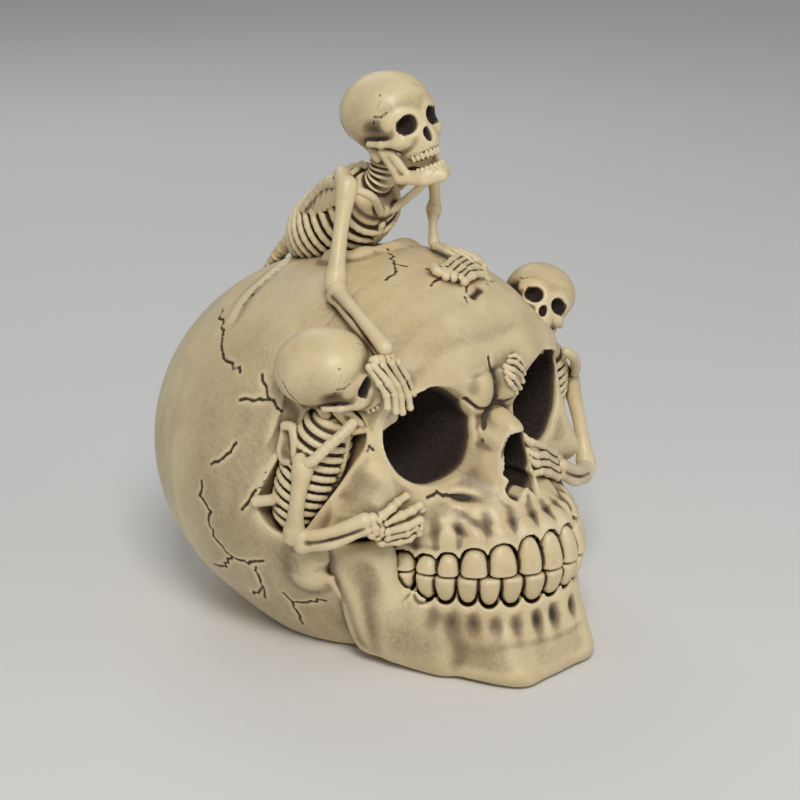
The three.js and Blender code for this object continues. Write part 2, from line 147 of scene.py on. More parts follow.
def ringGap(x, z, ring):
    best, inside = np.inf, False
    for a, b in zip(ring, np.roll(ring, -1, axis=0)):
        way = b - a
        px, pz = x - a[0], z - a[1]
        t = np.clip((px * way[0] + pz * way[1]) / (way @ way), 0, 1)
        best = np.minimum(best, (px - way[0] * t) ** 2 + (pz - way[1] * t) ** 2)
        crossed = (a[1] > z) != (b[1] > z)
        inside = inside ^ (crossed & (px < way[0] * pz / (way[1] if way[1] else 1e-9)))
    return np.where(inside, -1, 1) * np.sqrt(best)


def bowl(ring, mouth, depth, reach):
    ring = np.array(ring, float)

    def distance(x, y, z):
        share = np.clip((y - mouth) / depth, 0, 3)
        return ringGap(x, z, ring) + reach * share ** 2

    low = np.array([ring[:, 0].min(), mouth - 60, ring[:, 1].min()])
    high = np.array([ring[:, 0].max(), mouth + depth * 1.6, ring[:, 1].max()])
    return low, high, distance


# A stiff skin drawn through points on the face: what is in front of it goes, what is behind it fills.
# slide moves the part of the face below slide[2] sideways, down to slide[1], by slide[0].
stretched = {
    "slack": 0.3,
    "steepest": 9,
    "fade": 9,
    "fadeDepth": 2.5,
    "sideSpare": 6,
    "frontSpare": 9,
}


def sheet(anchors, low, high, slide):
    known = np.array(anchors + [(-x, y, z) for x, y, z in anchors if x > 0], float)
    flat = known[:, [0, 2]]

    def bend(square):
        return square * np.log(square + 1e-6)

    count = len(known)
    system = np.zeros((count + 3, count + 3))
    system[:count, :count] = bend(((flat[:, None] - flat[None]) ** 2).sum(2))
    system[:count, :count] += np.eye(count) * stretched["slack"]
    system[:count, count:] = np.column_stack([np.ones(count), flat])
    system[count:, :count] = system[:count, count:].T
    weights = np.linalg.solve(system, np.concatenate([known[:, 1], np.zeros(3)]))

    def frontAt(x, z):
        x = x - slide[0] * np.clip((slide[2] - z) / (slide[2] - slide[1]), 0, 1)
        front = weights[count] + weights[count + 1] * x + weights[count + 2] * z
        for i in range(count):
            front = front + weights[i] * bend((x - flat[i, 0]) ** 2 + (z - flat[i, 1]) ** 2)
        return front

    def cover(x, y, z):
        front = frontAt(x, z)
        if front.shape[0] < 2 or front.shape[2] < 2:
            return front - y
        spreadX = np.gradient(front[:, 0], axis=0) / np.gradient(x[:, 0, 0])[:, None]
        spreadZ = np.gradient(front[:, 0], axis=1) / np.gradient(z[0, 0])[None]
        steep = np.minimum(spreadX ** 2 + spreadZ ** 2, stretched["steepest"])
        return (front - y) / np.sqrt(1 + steep)[:, None]

    def bounded(low, high, sign):
        def distance(x, y, z):
            fade = np.clip((z - high[2] + stretched["fade"]) / stretched["fade"], 0, 1)
            gap = cover(x, y, z) * sign + stretched["fadeDepth"] * fade ** 2
            for i, one in enumerate((x, y, z)):
                gap = np.maximum(gap, np.maximum(low[i] - one, one - high[i]))
            return gap

        return np.array(low, float), np.array(high, float), distance

    openLow = (low[0] - stretched["sideSpare"], low[1] - stretched["frontSpare"], low[2])
    openHigh = (high[0] + stretched["sideSpare"], high[1], high[2])
    return bounded(low, high, 1), bounded(openLow, openHigh, -1), frontAt


def smoothLow(a, b, blend):
    if blend <= 0:
        return np.minimum(a, b)
    share = np.clip(0.5 + 0.5 * (b - a) / blend, 0, 1)
    return b + (a - b) * share - blend * share * (1 - share)


def between(a, b, c, d, f):
    bend = (2 * a - 5 * b + 4 * c - d) * f ** 2 + (3 * b - a - 3 * c + d) * f ** 3
    return 0.5 * (2 * b + (c - a) * f + bend)


def curve(points, count):
    points = np.array(points, float)
    ends = np.vstack([2 * points[0] - points[1], points, 2 * points[-1] - points[-2]])
    result = []
    for t in np.linspace(0, len(points) - 1, count):
        i = min(int(t), len(points) - 2)
        result.append(between(*ends[i:i + 4], t - i))
    return np.array(result)


def loopOf(points, count):
    points = np.array(points, float)
    result = []
    for t in np.linspace(0, len(points), count, endpoint=False):
        i = int(t)
        result.append(between(*(points[(i + k) % len(points)] for k in (-1, 0, 1, 2)), t - i))
    return np.array(result)


def boxBlur(block, radius):
    width = 2 * radius + 1
    for axis in range(3):
        pad = [(0, 0)] * 3
        pad[axis] = (radius + 1, radius)
        total = np.cumsum(np.pad(block, pad, mode="edge"), axis=axis, dtype=np.float32)
        upper = [slice(None)] * 3
        lower = [slice(None)] * 3
        upper[axis], lower[axis] = slice(width, None), slice(None, -width)
        block = (total[tuple(upper)] - total[tuple(lower)]) / width
    return block


def sampled(block, places):
    top = np.array(block.shape) - 1.001
    places = np.clip(places, 0, top)
    low = places.astype(np.int32)
    f = places - low
    total = 0
    for corner in range(8):
        bits = np.array([(corner >> i) & 1 for i in range(3)])
        share = np.prod(np.where(bits, f, 1 - f), axis=1)
        at = low + bits
        total = total + share * block[at[:, 0], at[:, 1], at[:, 2]]
    return total


class Clay:
    far = 9.0  # the distance that empty clay starts with
    tail = 2.6  # how many widths away a stroke fades out
    loosening = 0.97  # how freely a stroke reaches along its loose direction
    feather = 6.0  # over what width a softened window fades in
    spare = 1.0  # the room left round a form, besides its blend and some steps
    spareSteps = 2.5

    def __init__(self, axes, origin=(0, 0, 0), turn=(0, 0, 0), scale=1.0):
        self.axes = [np.asarray(one, np.float32) for one in axes]
        self.origin = np.array(origin, float)
        self.basis = np.array(Euler(turn, "ZYX").to_matrix()) * scale
        self.field = np.full([len(one) for one in self.axes], self.far, np.float32)
        self.step = float(min(np.diff(one).min() for one in self.axes))
        self.stains = []

    def window(self, low, high, margin):
        spans, grids = [], []
        for i, axis in enumerate(self.axes):
            a = int(np.searchsorted(axis, low[i] - margin))
            b = int(np.searchsorted(axis, high[i] + margin))
            spans.append(slice(a, b))
            shape = [1, 1, 1]
            shape[i] = -1
            grids.append(axis[a:b].reshape(shape))
        return tuple(spans), grids

    def pressed(self, form, blend):
        low, high, distance = form
        spans, grids = self.window(low, high, max(blend, 1) + self.spareSteps * self.step + self.spare)
        gaps = distance(*grids).astype(np.float32) if self.field[spans].size else None
        return spans, gaps

    def add(self, form, blend=0.0):
        spans, gaps = self.pressed(form, blend)
        if self.field[spans].size:
            self.field[spans] = smoothLow(self.field[spans], gaps, blend)

    def cut(self, form, blend=0.0):
        spans, gaps = self.pressed(form, blend)
        if self.field[spans].size:
            self.field[spans] = -smoothLow(-self.field[spans], gaps, blend)

    def addRun(self, points, radii, blend=0.0):
        radii = np.broadcast_to(radii, len(points)) if np.ndim(radii) == 0 else radii
        for i in range(len(points) - 1):
            self.add(rod(points[i], points[i + 1], radii[i], radii[i + 1]), blend)

    def quilt(self, curves, radii, blend):
        for i in range(len(curves) - 1):
            for low, high in zip(curves[i], curves[i + 1]):
                self.add(rod(low, high, radii[i], radii[i + 1]), blend)

    def stroke(self, points, width, height, loose=None, stain=0.0, oval=False):
        points = np.array(points, float)
        reach = self.tail * width * (1 if loose is None else 2.5)
        spans, grids = self.window(points.min(0) - reach, points.max(0) + reach, 0)
        if not self.field[spans].size:
            return
        amount = self.closeness(grids, points, width, loose, oval)
        self.field[spans] -= (height * amount).astype(np.float32)
        if stain:
            self.stains.append((points, width, loose, stain, oval))

    def closeness(self, grids, points, width, loose, oval):
        near = np.inf
        if oval:
            middle, half = (points[0] + points[-1]) / 2, (points[-1] - points[0]) / 2
            length = float(np.linalg.norm(half))
            p = [grids[i] - middle[i] for i in range(3)]
            along = (p[0] * half[0] + p[1] * half[1] + p[2] * half[2]) / length
            gap = p[0] ** 2 + p[1] ** 2 + p[2] ** 2 - along ** 2 * (1 - (width / length) ** 2)
            gap = gap - self.loosening * (p[0] * loose[0] + p[1] * loose[1] + p[2] * loose[2]) ** 2
            return np.exp(-gap / width ** 2)
        for a, b in zip(points[:-1], points[1:]):
            way = b - a
            p = [grids[i] - a[i] for i in range(3)]
            t = np.clip((p[0] * way[0] + p[1] * way[1] + p[2] * way[2]) / max(float(way @ way), 1e-6), 0, 1)
            p = [p[i] - way[i] * t for i in range(3)]
            gap = p[0] ** 2 + p[1] ** 2 + p[2] ** 2
            if loose is not None:
                gap = gap - self.loosening * (p[0] * loose[0] + p[1] * loose[1] + p[2] * loose[2]) ** 2
            near = np.minimum(near, gap)
        return np.exp(-near / width ** 2)

    def stainAt(self, places):
        total = np.zeros(len(places))
        for points, width, loose, stain, oval in self.stains:
            reach = self.tail * width
            above = places > points.min(0) - reach * 2
            close = np.all(above & (places < points.max(0) + reach * 2), axis=1)
            if close.any():
                amount = self.closeness(places[close].T, points, width * (1 if oval else 1.25), loose, oval)
                total[close] = np.maximum(total[close], amount * stain)
        return total

    def frontOf(self, x, z):
        i, k = np.searchsorted(self.axes[0], x), np.searchsorted(self.axes[2], z)
        column = self.field[i, :, k]
        j = int(np.argmax(column < 0))
        share = column[j - 1] / (column[j - 1] - column[j])
        return float(self.axes[1][j - 1] + share * (self.axes[1][j] - self.axes[1][j - 1]))

    def soften(self, low, high, times, radius=1):
        spans, grids = self.window(low, high, 0)
        block = self.field[spans]
        share = 1.0
        for i, one in enumerate(grids):
            share = share * np.clip(np.minimum(one - low[i], high[i] - one) / self.feather, 0, 1)
        for _ in range(times):
            block = block + (boxBlur(block, radius) - block) * share
        self.field[spans] = block

    def keepAbove(self, height):
        z = self.axes[2].reshape(1, 1, -1)
        self.field = np.maximum(self.field, height - z)

    def surface(self):
        limit = 3 * self.step
        grid = openvdb.FloatGrid(limit)
        grid.copyFromArray(np.clip(self.field, -limit, limit))
        points, quads = grid.convertToQuads(0.0)
        columns = [np.interp(points[:, i], np.arange(len(self.axes[i])), self.axes[i]) for i in range(3)]
        places = np.stack(columns, 1)
        return points, places @ self.basis.T + self.origin, quads


def axis(low, high, step):
    return np.arange(low, high + step, step)


def gradedAxis(low, fineEnd, high, fine, coarse):
    places = [low]
    while places[-1] < high:
        share = min(1.0, max(0.0, (places[-1] - fineEnd) / 12))
        places.append(places[-1] + fine + (coarse - fine) * share)
    return np.array(places)


detail = 1.0
hollowShade = {"fine": 1, "wide": 2, "contrast": 5}
pieces = []


def meshOf(name, clay, marks=None):
    indexPlaces, places, quads = clay.surface()
    data = bpy.data.meshes.new(name)
    data.vertices.add(len(places))
    data.vertices.foreach_set("co", (places * mm).astype(np.float32).ravel())
    data.loops.add(len(quads) * 4)
    data.loops.foreach_set("vertex_index", quads.astype(np.int32).ravel())
    data.polygons.add(len(quads))
    data.polygons.foreach_set("loop_start", np.arange(0, len(quads) * 4, 4, dtype=np.int32))
    data.polygons.foreach_set("use_smooth", np.ones(len(quads), bool))
    data.update(calc_edges=True)
    data.validate()
    # How full each point's own piece is around it: the hollow measure, which the material turns into wash and
    # painted shade in recesses, and into a lighter worn colour on raised places
    occupied = np.clip(0.5 - clay.field / (2 * clay.step), 0, 1).astype(np.float32)
    filled = sampled(boxBlur(boxBlur(occupied, hollowShade["fine"]), hollowShade["wide"]), indexPlaces)
    hollow = np.clip((filled - 0.5) * hollowShade["contrast"], -1, 1)
    layers = {"hollow": hollow, "stain": clay.stainAt(places)}
    for key, values in (marks(places) if marks else {}).items():
        layers[key] = values
    for key, values in layers.items():
        data.attributes.new(key, "FLOAT", "POINT").data.foreach_set("value", values.astype(np.float32))
    piece = bpy.data.objects.new(name, data)
    bpy.context.scene.collection.objects.link(piece)
    pieces.append((piece, clay))
    return piece


# The big skull: the left side's points also make its right side
skull = {
    "step": 0.5,
    "frontStep": 0.94,
    "coarseStep": 1.1,
    "reach": ((-74.5, 74.5), (-90, 10, 85), (-1, 136, 138)),
    "vault": [
        ((0, 5.5, 61), (73, 78, 69)), ((0, -11, 84), (57, 47, 49.5)), ((0, -4, 26), (50, 50, 40)),
        ((14, -30, 102), (26, 26.5, 22.5)), ((-14, -30, 102), (26, 26.5, 22.5)),
    ],
    "vaultBlend": 10,
    "inner": [
        ((0, -38, 66), (36, 22, 26)), ((0, -50, 50), (28, 26, 14)),
        ((45, -38, 47), (9, 8, 9)), ((-45, -38, 47), (9, 8, 9)),
    ],
    "innerBlend": 4,
    "sheet": [
        (0, -55.8, 104), (12, -57, 104.5), (25, -55.6, 107), (36, -50.8, 104.5), (43.5, -45, 98),
        (0, -57, 94), (11.5, -57.5, 95), (10.5, -58, 87), (11, -58.7, 81), (11.5, -58.2, 75),
        (14.5, -57.4, 69), (20, -56.2, 66.2), (27, -55.2, 66.5), (34, -54, 69), (39.5, -52, 73.5),
        (43, -50.5, 79), (44.5, -48.8, 85), (43.5, -49, 91), (38, -53.5, 99), (0, -58, 90),
        (5.5, -58.3, 88.5), (8.4, -58.8, 84), (9, -60, 78.5), (0, -64.5, 82), (4.3, -67.3, 78.5),
        (6.4, -69.4, 72), (7.6, -70.4, 64), (0, -73.5, 63), (0, -79, 55), (0, -82, 48), (0, -84, 42),
        (10, -77.5, 55), (11, -81.5, 48), (12, -83, 42), (17.5, -66, 61), (18, -72.5, 55), (20, -77, 48),
        (21, -78, 42), (24, -59.5, 61), (25, -65.5, 55), (27, -69, 48), (28, -70, 43), (33, -57.5, 57),
        (34, -58, 48), (35, -54, 43), (38.5, -44, 45), (44, -55, 62), (52, -53, 59.5), (50, -51.5, 67),
        (48, -48.5, 77), (48, -45, 86), (56.5, -44, 60), (55, -42, 68), (53, -38, 78), (51, -36, 88),
        (48, -49, 54), (44, -38, 47), (55, -36, 50), (50, -34, 44), (56, -32, 42),
    ],
    "sheetReach": ((-58, -90, 37), (58, -20, 116)),
    "sheetBorder": [
        (0, 113), (12, 113), (24, 113), (36, 112), (0, 119), (14, 119), (28, 119), (44, 108), (50, 100),
        (42, 117), (55, 92), (58, 84), (61, 76), (62, 66), (62, 56), (62, 46), (57, 100), (63, 88),
    ],
    "sheetSlide": (3.0, 48, 62),
    "sheetCutBlend": 3,
    "sheetBlend": 1.5,
    "lobe": [((6.4, -50.5, 97.4), (7.0, 11.5, 9.2)), ((7.2, -54.6, 93.6), (5.6, 6.2, 4.6))],
    "lobeBlend": 3,
    "lobeRoot": [(19, -50.5, 104), (7, -53.5, 96)],
    "lobeRootRadii": (6.0, 5.5),
    "lobeRootBlend": 5,
    "lobeCrack": [
        (0, -59.5, 91), (0.6, -61, 94.5), (-0.5, -61, 98), (0.4, -60, 101), (-0.9, -57, 104),
        (-0.2, -54, 108),
    ],
    "brow": [(7, -52, 96.5), (15, -52, 104), (25, -50.6, 106.6), (36, -46, 104), (43, -40, 96.6)],
    "browRadii": [3.4, 3.6, 3.6, 3.6, 3.2],
    "browBlend": 6,
    "orbit": [
        (43.2, 85), (42.7, 91), (40, 96.3), (35, 100.4), (25, 102.6), (17, 99.3), (12, 95), (10.6, 90),
        (10.6, 81), (11.5, 75), (14.5, 69.8), (20, 67.2), (27, 67.2), (33, 69.2), (38.5, 73.5), (42, 79.2),
    ],
    "rimLimit": -59,
    "orbitMouth": -50,
    "orbitDepth": 30,
    "orbitTaper": 16.5,
    "orbitBlend": 1.2,
    "nasalRidge": [(0, -56.5, 86.2), (0, -62, 85), (0, -67.4, 82.6)],
    "nasalRadii": [3.9, 3.6, 2.7],
    "nasalBlend": 1.5,
    "nasalFlank": [(5.6, -57.5, 82.5), (4.9, -62, 80.8), (3.9, -65.4, 79.4)],
    "flankRadii": [3.0, 2.2],
    "flankBlend": 2.5,
    "nose": [
        (0, 83.2), (3.0, 82.6), (4.4, 78.5), (6.2, 72), (6.6, 69.2), (5.9, 67.4),
        (7.4, 65), (7.2, 62.6), (5.4, 60.2), (3.4, 60.2), (1.5, 62.8),
    ],
    "noseMouth": -66,
    "noseDepth": 30,
    "noseTaper": 7.5,
    "noseBlend": 0.5,
    "spine": [(0, -64, 61.5), (0, -73.2, 62.5)],
    "spineRadii": [1.2, 0.8],
    "spineBlend": 0.8,
    "forehead": {"low": (-56, -72, 102), "high": (56, -20, 136), "times": 8, "radius": 5},
    "gumArches": [(7.4, 49), (6.2, 42)],
    "gumRadius": 4.6,
    "gumBlend": 3,
    "root": {"inset": 3, "topInset": 5, "rise": 9, "lean": (0.93, 0.97, 0), "full": 10},
    "rootRidge": {"width": 2.9, "height": 0.6},
    "rootHollow": {"width": 1.9, "height": -0.65, "stain": 0.22},
    "recess": [(56.5, -38, 88), (65, -25, 62)],
    "recessRadii": (12.0, 10.0),
    "recessBlend": 0.5,
    "lobeCrackForm": {"middle": (0, 5, 90), "wobble": 0.35, "width": 0.4},
    "foreheadHollow": [(10.5, -40.5, 122.8), (6, -42, 122)],
    "foreheadDent": {"width": 2.4, "height": -1.5, "stain": 0.2},
    "cracks": [
        [
            (40.5, 34, 112.6), (45, 30, 110.8), (49.5, 23, 109.3),
            (54, 19, 105.8), (57.3, 14, 103), (59.5, 3, 101.2),
        ],
        [(58.4, -7, 102.3), (61.2, -13.4, 96), (60.6, -19, 93)],
        [(64, -2, 93.6), (61.2, -13.4, 96)],
        [(72.2, 4.4, 71), (70.5, -3.7, 77), (69.3, -5.5, 80.5)],
        [
            (72.9, 9, 63.7), (72.8, 10.6, 58), (72.6, 4.8, 53.5), (71.9, 7.3, 49.3),
            (70.6, 6.5, 43.5), (68.4, -0.2, 37.4), (67, -7.5, 36.3), (66.8, -15, 39.6),
        ],
        [(68.4, -0.2, 37.4), (65.4, 6.3, 30.3), (63.7, 15, 28.2)],
        [(66.3, -10.7, 36), (61.8, -8.8, 26.4), (58.4, 0, 19.9)],
        [(61.8, -8.8, 26.4), (57.8, -5.2, 19.8)],
        [(59.4, -16.5, 25.9), (56.3, -17.5, 21.8), (52.6, -30.7, 25.3)],
        [(56.3, -17.5, 21.8), (48.4, -14.2, 9.7)],
        [(71.5, -10, 58.3), (70, -15.5, 66.3), (69, -18.3, 67.5), (64, -17, 78)],
        [(46.4, -48, 83), (47.4, -46.8, 84.6), (48.5, -45.6, 82.5)],
    ],
    "crownCracks": [
        [(-29.5, -56, 64), (-25.2, -56.5, 64.8), (-22, -57.5, 63.3), (-19.2, -59.6, 62.5)],
        [(0.7, -5.7, 134.4), (-7.6, -18.5, 133.2), (-10.7, -22.6, 131.8), (-17, -24, 130)],
        [(-7.6, -18.5, 133.2), (-5.4, -22.5, 132.5)],
        [(-0.2, -27, 131.3), (4.2, -29.4, 130.2)],
        [(-6.4, -34.5, 127.4), (-0.4, -32.9, 128.6)],
        [(1, -43.4, 121.4), (7.3, -37.8, 125.2)],
        [(13.6, -43.3, 119.7), (16, -38.2, 123.2), (25.4, -35.2, 121.7)],
    ],
    "mastoid": [(57.5, -30.5, 44), (58.5, -29.5, 37)],
    "mastoidRadii": [6.2, 4.4],
    "mastoidBlend": 5,
    "lips": [
        ((-13.5, 3, 131), (4.5, 6.5, 4.4)), ((-8, -4, 132.4), (6, 4, 3.8)),
        ((2, -7, 133), (7, 3.4, 3.6)), ((12, -4, 132), (5, 5, 3.4)),
    ],
    "lipBlend": 2.5,
    "crownSeam": [(-15, 29, 125), (-24.5, 24, 123.3), (-32, 23.3, 120.5), (-40.5, 22, 116.4)],
    "crownSeamForm": {"width": 0.22},
    "crownRidgeForm": {"width": 2.4, "height": 1.0},
    "crownRidge": [
        (-12, 31.5, 125), (-24.3, 26.7, 123), (-31.9, 26.1, 120), (-40.2, 24.8, 116), (-45.8, 22.6, 112),
    ],
    "orbitMark": {"gap": 1.2, "start": 0.8, "fade": 3.5, "front": -14},
    "noseMark": {"gap": 0.8, "start": -69, "fade": 2.5, "front": -28},
    "jawRoom": ((0, -85, 16), (100, 48.3, 21.6)),
    "base": 1.2,
}

# Lines on both sides of the face. One with a loose direction is an oval dent with a stain.
faceLines = [
    {"run": [(15.8, -64.5, 61.8), (21.5, -59, 62.6)],
     "width": 1.7, "height": -1.9, "loose": (0.5, -0.75, 0.4), "stain": 0.45},
    {"run": [(21.5, -64.5, 58.5), (18, -73, 52.7)],
     "width": 1.6, "height": -0.5, "loose": (0.35, -0.75, 0.55), "stain": 0.2},
    {"run": [(25.5, -65, 55.3), (23, -71, 51.3)],
     "width": 1.6, "height": -0.5, "loose": (0.35, -0.75, 0.55), "stain": 0.2},
    {"run": [(13.5, -58, 95.5), (9, -60, 91.2), (4, -60, 90), (0, -59, 91)],
     "width": 0.8, "height": -1.1},
    {"run": [(7.6, -61, 80), (7.0, -60.6, 82.6), (6.0, -59.8, 87.1), (4, -60, 89.7), (0, -60.3, 90.2)],
     "width": 0.8, "height": -0.7},
    {"run": [(6.6, -70.5, 67.4), (8.2, -71, 64.5), (7.4, -72, 61), (4.4, -74, 59), (1.8, -75, 61.6),
             (0.4, -74.5, 64)],
     "width": 1.1, "height": 0.7},
]

mouth = {
    "bite": 37.7,
    "path": [
        (-38, -44, 0), (-36.8, -49.5, 0), (-33.6, -55.2, 0), (-31.0, -62.5, 0), (-26.4, -68.6, 0),
        (-20, -75.9, 0), (-11.2, -81.6, 0), (-3.3, -85.2, 0), (5, -86.3, 0), (14, -85.2, 0), (22, -80.5, 0),
        (29.5, -72.5, 0), (34.5, -63, 0), (37.5, -53, 0), (38.5, -42, 0),
    ],
    "start": 3.5,
    "upper": [
        (8.0, 6.6), (8.1, 6.5), (7.8, 7.9), (9.8, 9.8), (10.3, 11.3), (8.9, 12.9), (9.0, 13.1), (8.4, 13.0),
        (9.2, 12.2), (9.6, 10.6), (8.4, 8.6), (7.8, 7.2), (7.6, 6.6), (7.6, 6.4),
    ],
    "lower": [
        (7.6, 9.2), (7.5, 10.4), (7.6, 10.3), (7.7, 10.7), (7.9, 11.4), (8.0, 11.5), (8.2, 11.2), (8.2, 10.4),
        (7.6, 9.8), (7.4, 9.8), (7.8, 10.4), (7.8, 10.6), (7.6, 10.4), (7.6, 10.0), (7.2, 9.0),
    ],
    "depth": 3.6,
    "lean": 0.17,
    "overbite": 0.7,
    "trench": 1.05,
    "toothBlend": 0.2,
    "toothGap": 0.2,
    "toothInset": 1.9,
    "widestAt": 0.3,
    "flatEnd": 0.2,
    "trenchShares": {"depth": 0.6, "bite": 0.5},
    "toothShape": {
        "neck": 0.15, "foot": 0.03, "across": 2.7, "outward": 2.4, "high": 1.9, "low": 7, "all": 2.3,
    },
    "gumLine": {"width": 0.5, "height": -0.55, "stain": 0.75},
    "gumArc": {
        "reach": 0.72, "start": 0.3, "inset": 1.5, "spare": 0.1, "bend": 0.8, "turns": (0.12, 0.88, 9),
    },
}
archPoints = curve(mouth["path"], 300)
archSteps = np.concatenate([[0], np.cumsum(np.linalg.norm(np.diff(archPoints, axis=0), axis=1))])


def onArch(length):
    point = np.array([np.interp(length, archSteps, archPoints[:, i]) for i in range(3)])
    ahead = np.array([np.interp(length + 0.5, archSteps, archPoints[:, i]) for i in range(3)])
    behind = np.array([np.interp(length - 0.5, archSteps, archPoints[:, i]) for i in range(3)])
    way = (ahead - behind) / np.linalg.norm(ahead - behind)
    return point, way, np.array([way[1], -way[0], 0])


def archCurve(inset, height, count=45):
    places = [onArch(t) for t in np.linspace(0, archSteps[-1], count)]
    return [point - out * inset + (0, 0, height) for point, way, out in places]


def toothPlaces(row):
    reached = mouth["start"]
    for width, height in mouth[row]:
        yield reached + width / 2, width, height
        reached += width


# A tooth is a rounded block: flat at the bite, narrowing to a round neck. grow makes the trench round it.
def tooth(length, width, height, up, grow):
    point, way, out = onArch(length)
    centre = point - out * (mouth["toothInset"] + (mouth["overbite"] if up < 0 else 0))
    bite, lean = mouth["bite"], mouth["lean"]
    middle = mouth["widestAt"] * height
    halfWidth = width / 2 - mouth["toothGap"] + grow
    depth = mouth["depth"] + grow * mouth["trenchShares"]["depth"]
    reach = width + height
    shape = mouth["toothShape"]

    def distance(x, y, z):
        px, py, pz = x - centre[0], y - centre[1], (z - bite) * up - middle
        across = np.abs(px * way[0] + py * way[1]) / halfWidth
        outward = np.abs(px * out[0] + py * out[1] + pz * lean) / depth
        high = np.maximum(pz, 0) / (height - middle + grow)
        low = np.maximum(-pz, 0) / (middle - mouth["flatEnd"] + grow * mouth["trenchShares"]["bite"])
        across = across * (1 + shape["neck"] * np.maximum(high, 0) + shape["foot"] * low)
        total = np.minimum(across, 4) ** shape["across"] + np.minimum(outward, 4) ** shape["outward"]
        total = total + np.minimum(high, 4) ** shape["high"] + np.minimum(low, 4) ** shape["low"]
        return (total ** (1 / shape["all"]) - 1) * min(halfWidth, depth)

    low = centre + (-reach, -reach, bite - reach)
    high = centre + (reach, reach, bite + reach)
    return low, high, distance


def toothRow(row, up, clay):
    for grow, work in ((mouth["trench"], clay.cut), (0.0, clay.add)):
        for length, width, height in toothPlaces(row):
            work(tooth(length, width, height, up, grow), mouth["toothBlend"])
    form = mouth["gumArc"]
    for length, width, height in toothPlaces(row):
        point, way, out = onArch(length)
        arc = []
        for turn in np.linspace(*form["turns"]) * math.pi:
            across = math.cos(turn) * (width / 2 + form["spare"])
            high = form["start"] + form["reach"] * math.sin(turn) ** form["bend"]
            level = mouth["bite"] + up * high * height
            arc.append(point - out * form["inset"] + way * across + (0, 0, level))
        clay.stroke(arc, loose=out, **mouth["gumLine"])


def onSide(points, side):
    return [(x * side, y, z) for x, y, z in points]


def formOnSide(form, side):
    centre, reach = form
    return (centre[0] * side, centre[1], centre[2]), reach


def bothSides(points):
    return np.array(points + [(-x, z) for x, z in reversed(points) if x > 0])


# A crack wanders off its run by chance, and opens away from the middle of its piece
cracking = {
    "middle": (0, 5, 61),
    "wobble": 0.45,
    "width": 0.36,
    "thinnest": 0.75,
    "spread": 0.5,
    "part": 1.8,
    "depth": -1.6,
    "stain": 0.7,
}


def crackedAlong(clay, run, seed, **changed):
    form = {**cracking, **changed}
    chance = np.random.RandomState(seed)
    jagged = [np.array(run[0], float)]
    for start, end in zip(np.array(run[:-1], float), np.array(run[1:], float)):
        parts = max(2, int(np.linalg.norm(end - start) / form["part"]))
        for t in np.arange(1, parts + 1) / parts:
            jagged.append(start + (end - start) * t + chance.normal(0, form["wobble"], 3) * (t < 1))
    jagged = np.array(jagged)
    for a, b in zip(jagged[:-1], jagged[1:]):
        out = (a + b) / 2 - form["middle"]
        thick = form["width"] * (form["thinnest"] + form["spread"] * chance.rand())
        depth = form["depth"] * form["width"]
        clay.stroke([a, b], thick, depth, out / np.linalg.norm(out), form["stain"])


def sculptRoots(clay):
    root, ridge, hollow = skull["root"], skull["rootRidge"], skull["rootHollow"]
    for length, width, height in toothPlaces("upper"):
        point, way, out = onArch(length)
        neck = mouth["bite"] + height
        place = point - out * root["inset"] + (0, 0, neck)
        top = point * root["lean"] - out * root["topInset"] + (0, 0, neck + root["rise"])
        share = min(1.0, height / root["full"])
        clay.stroke([place - (0, 0, 2), top], ridge["width"], ridge["height"] * share, out)
        side = way * width / 2
        slope = np.cross(side, top - place)
        slope /= np.linalg.norm(slope)
        ends = [place + side - (0, 0, 1), top + side * 0.8]
        clay.stroke(ends, hollow["width"], hollow["height"] * share, slope, hollow["stain"], True)


def carveFace(clay):
    for side in (1, -1):
        for line in faceLines:
            run = onSide(line["run"], side)
            if "loose" in line:
                loose = onSide([line["loose"]], side)[0]
                clay.stroke(run, line["width"], line["height"], loose, line["stain"], True)
            else:
                clay.stroke(run, line["width"], line["height"])
    crackedAlong(clay, skull["lobeCrack"], 3, **skull["lobeCrackForm"])
    clay.stroke(skull["foreheadHollow"], **skull["foreheadDent"])


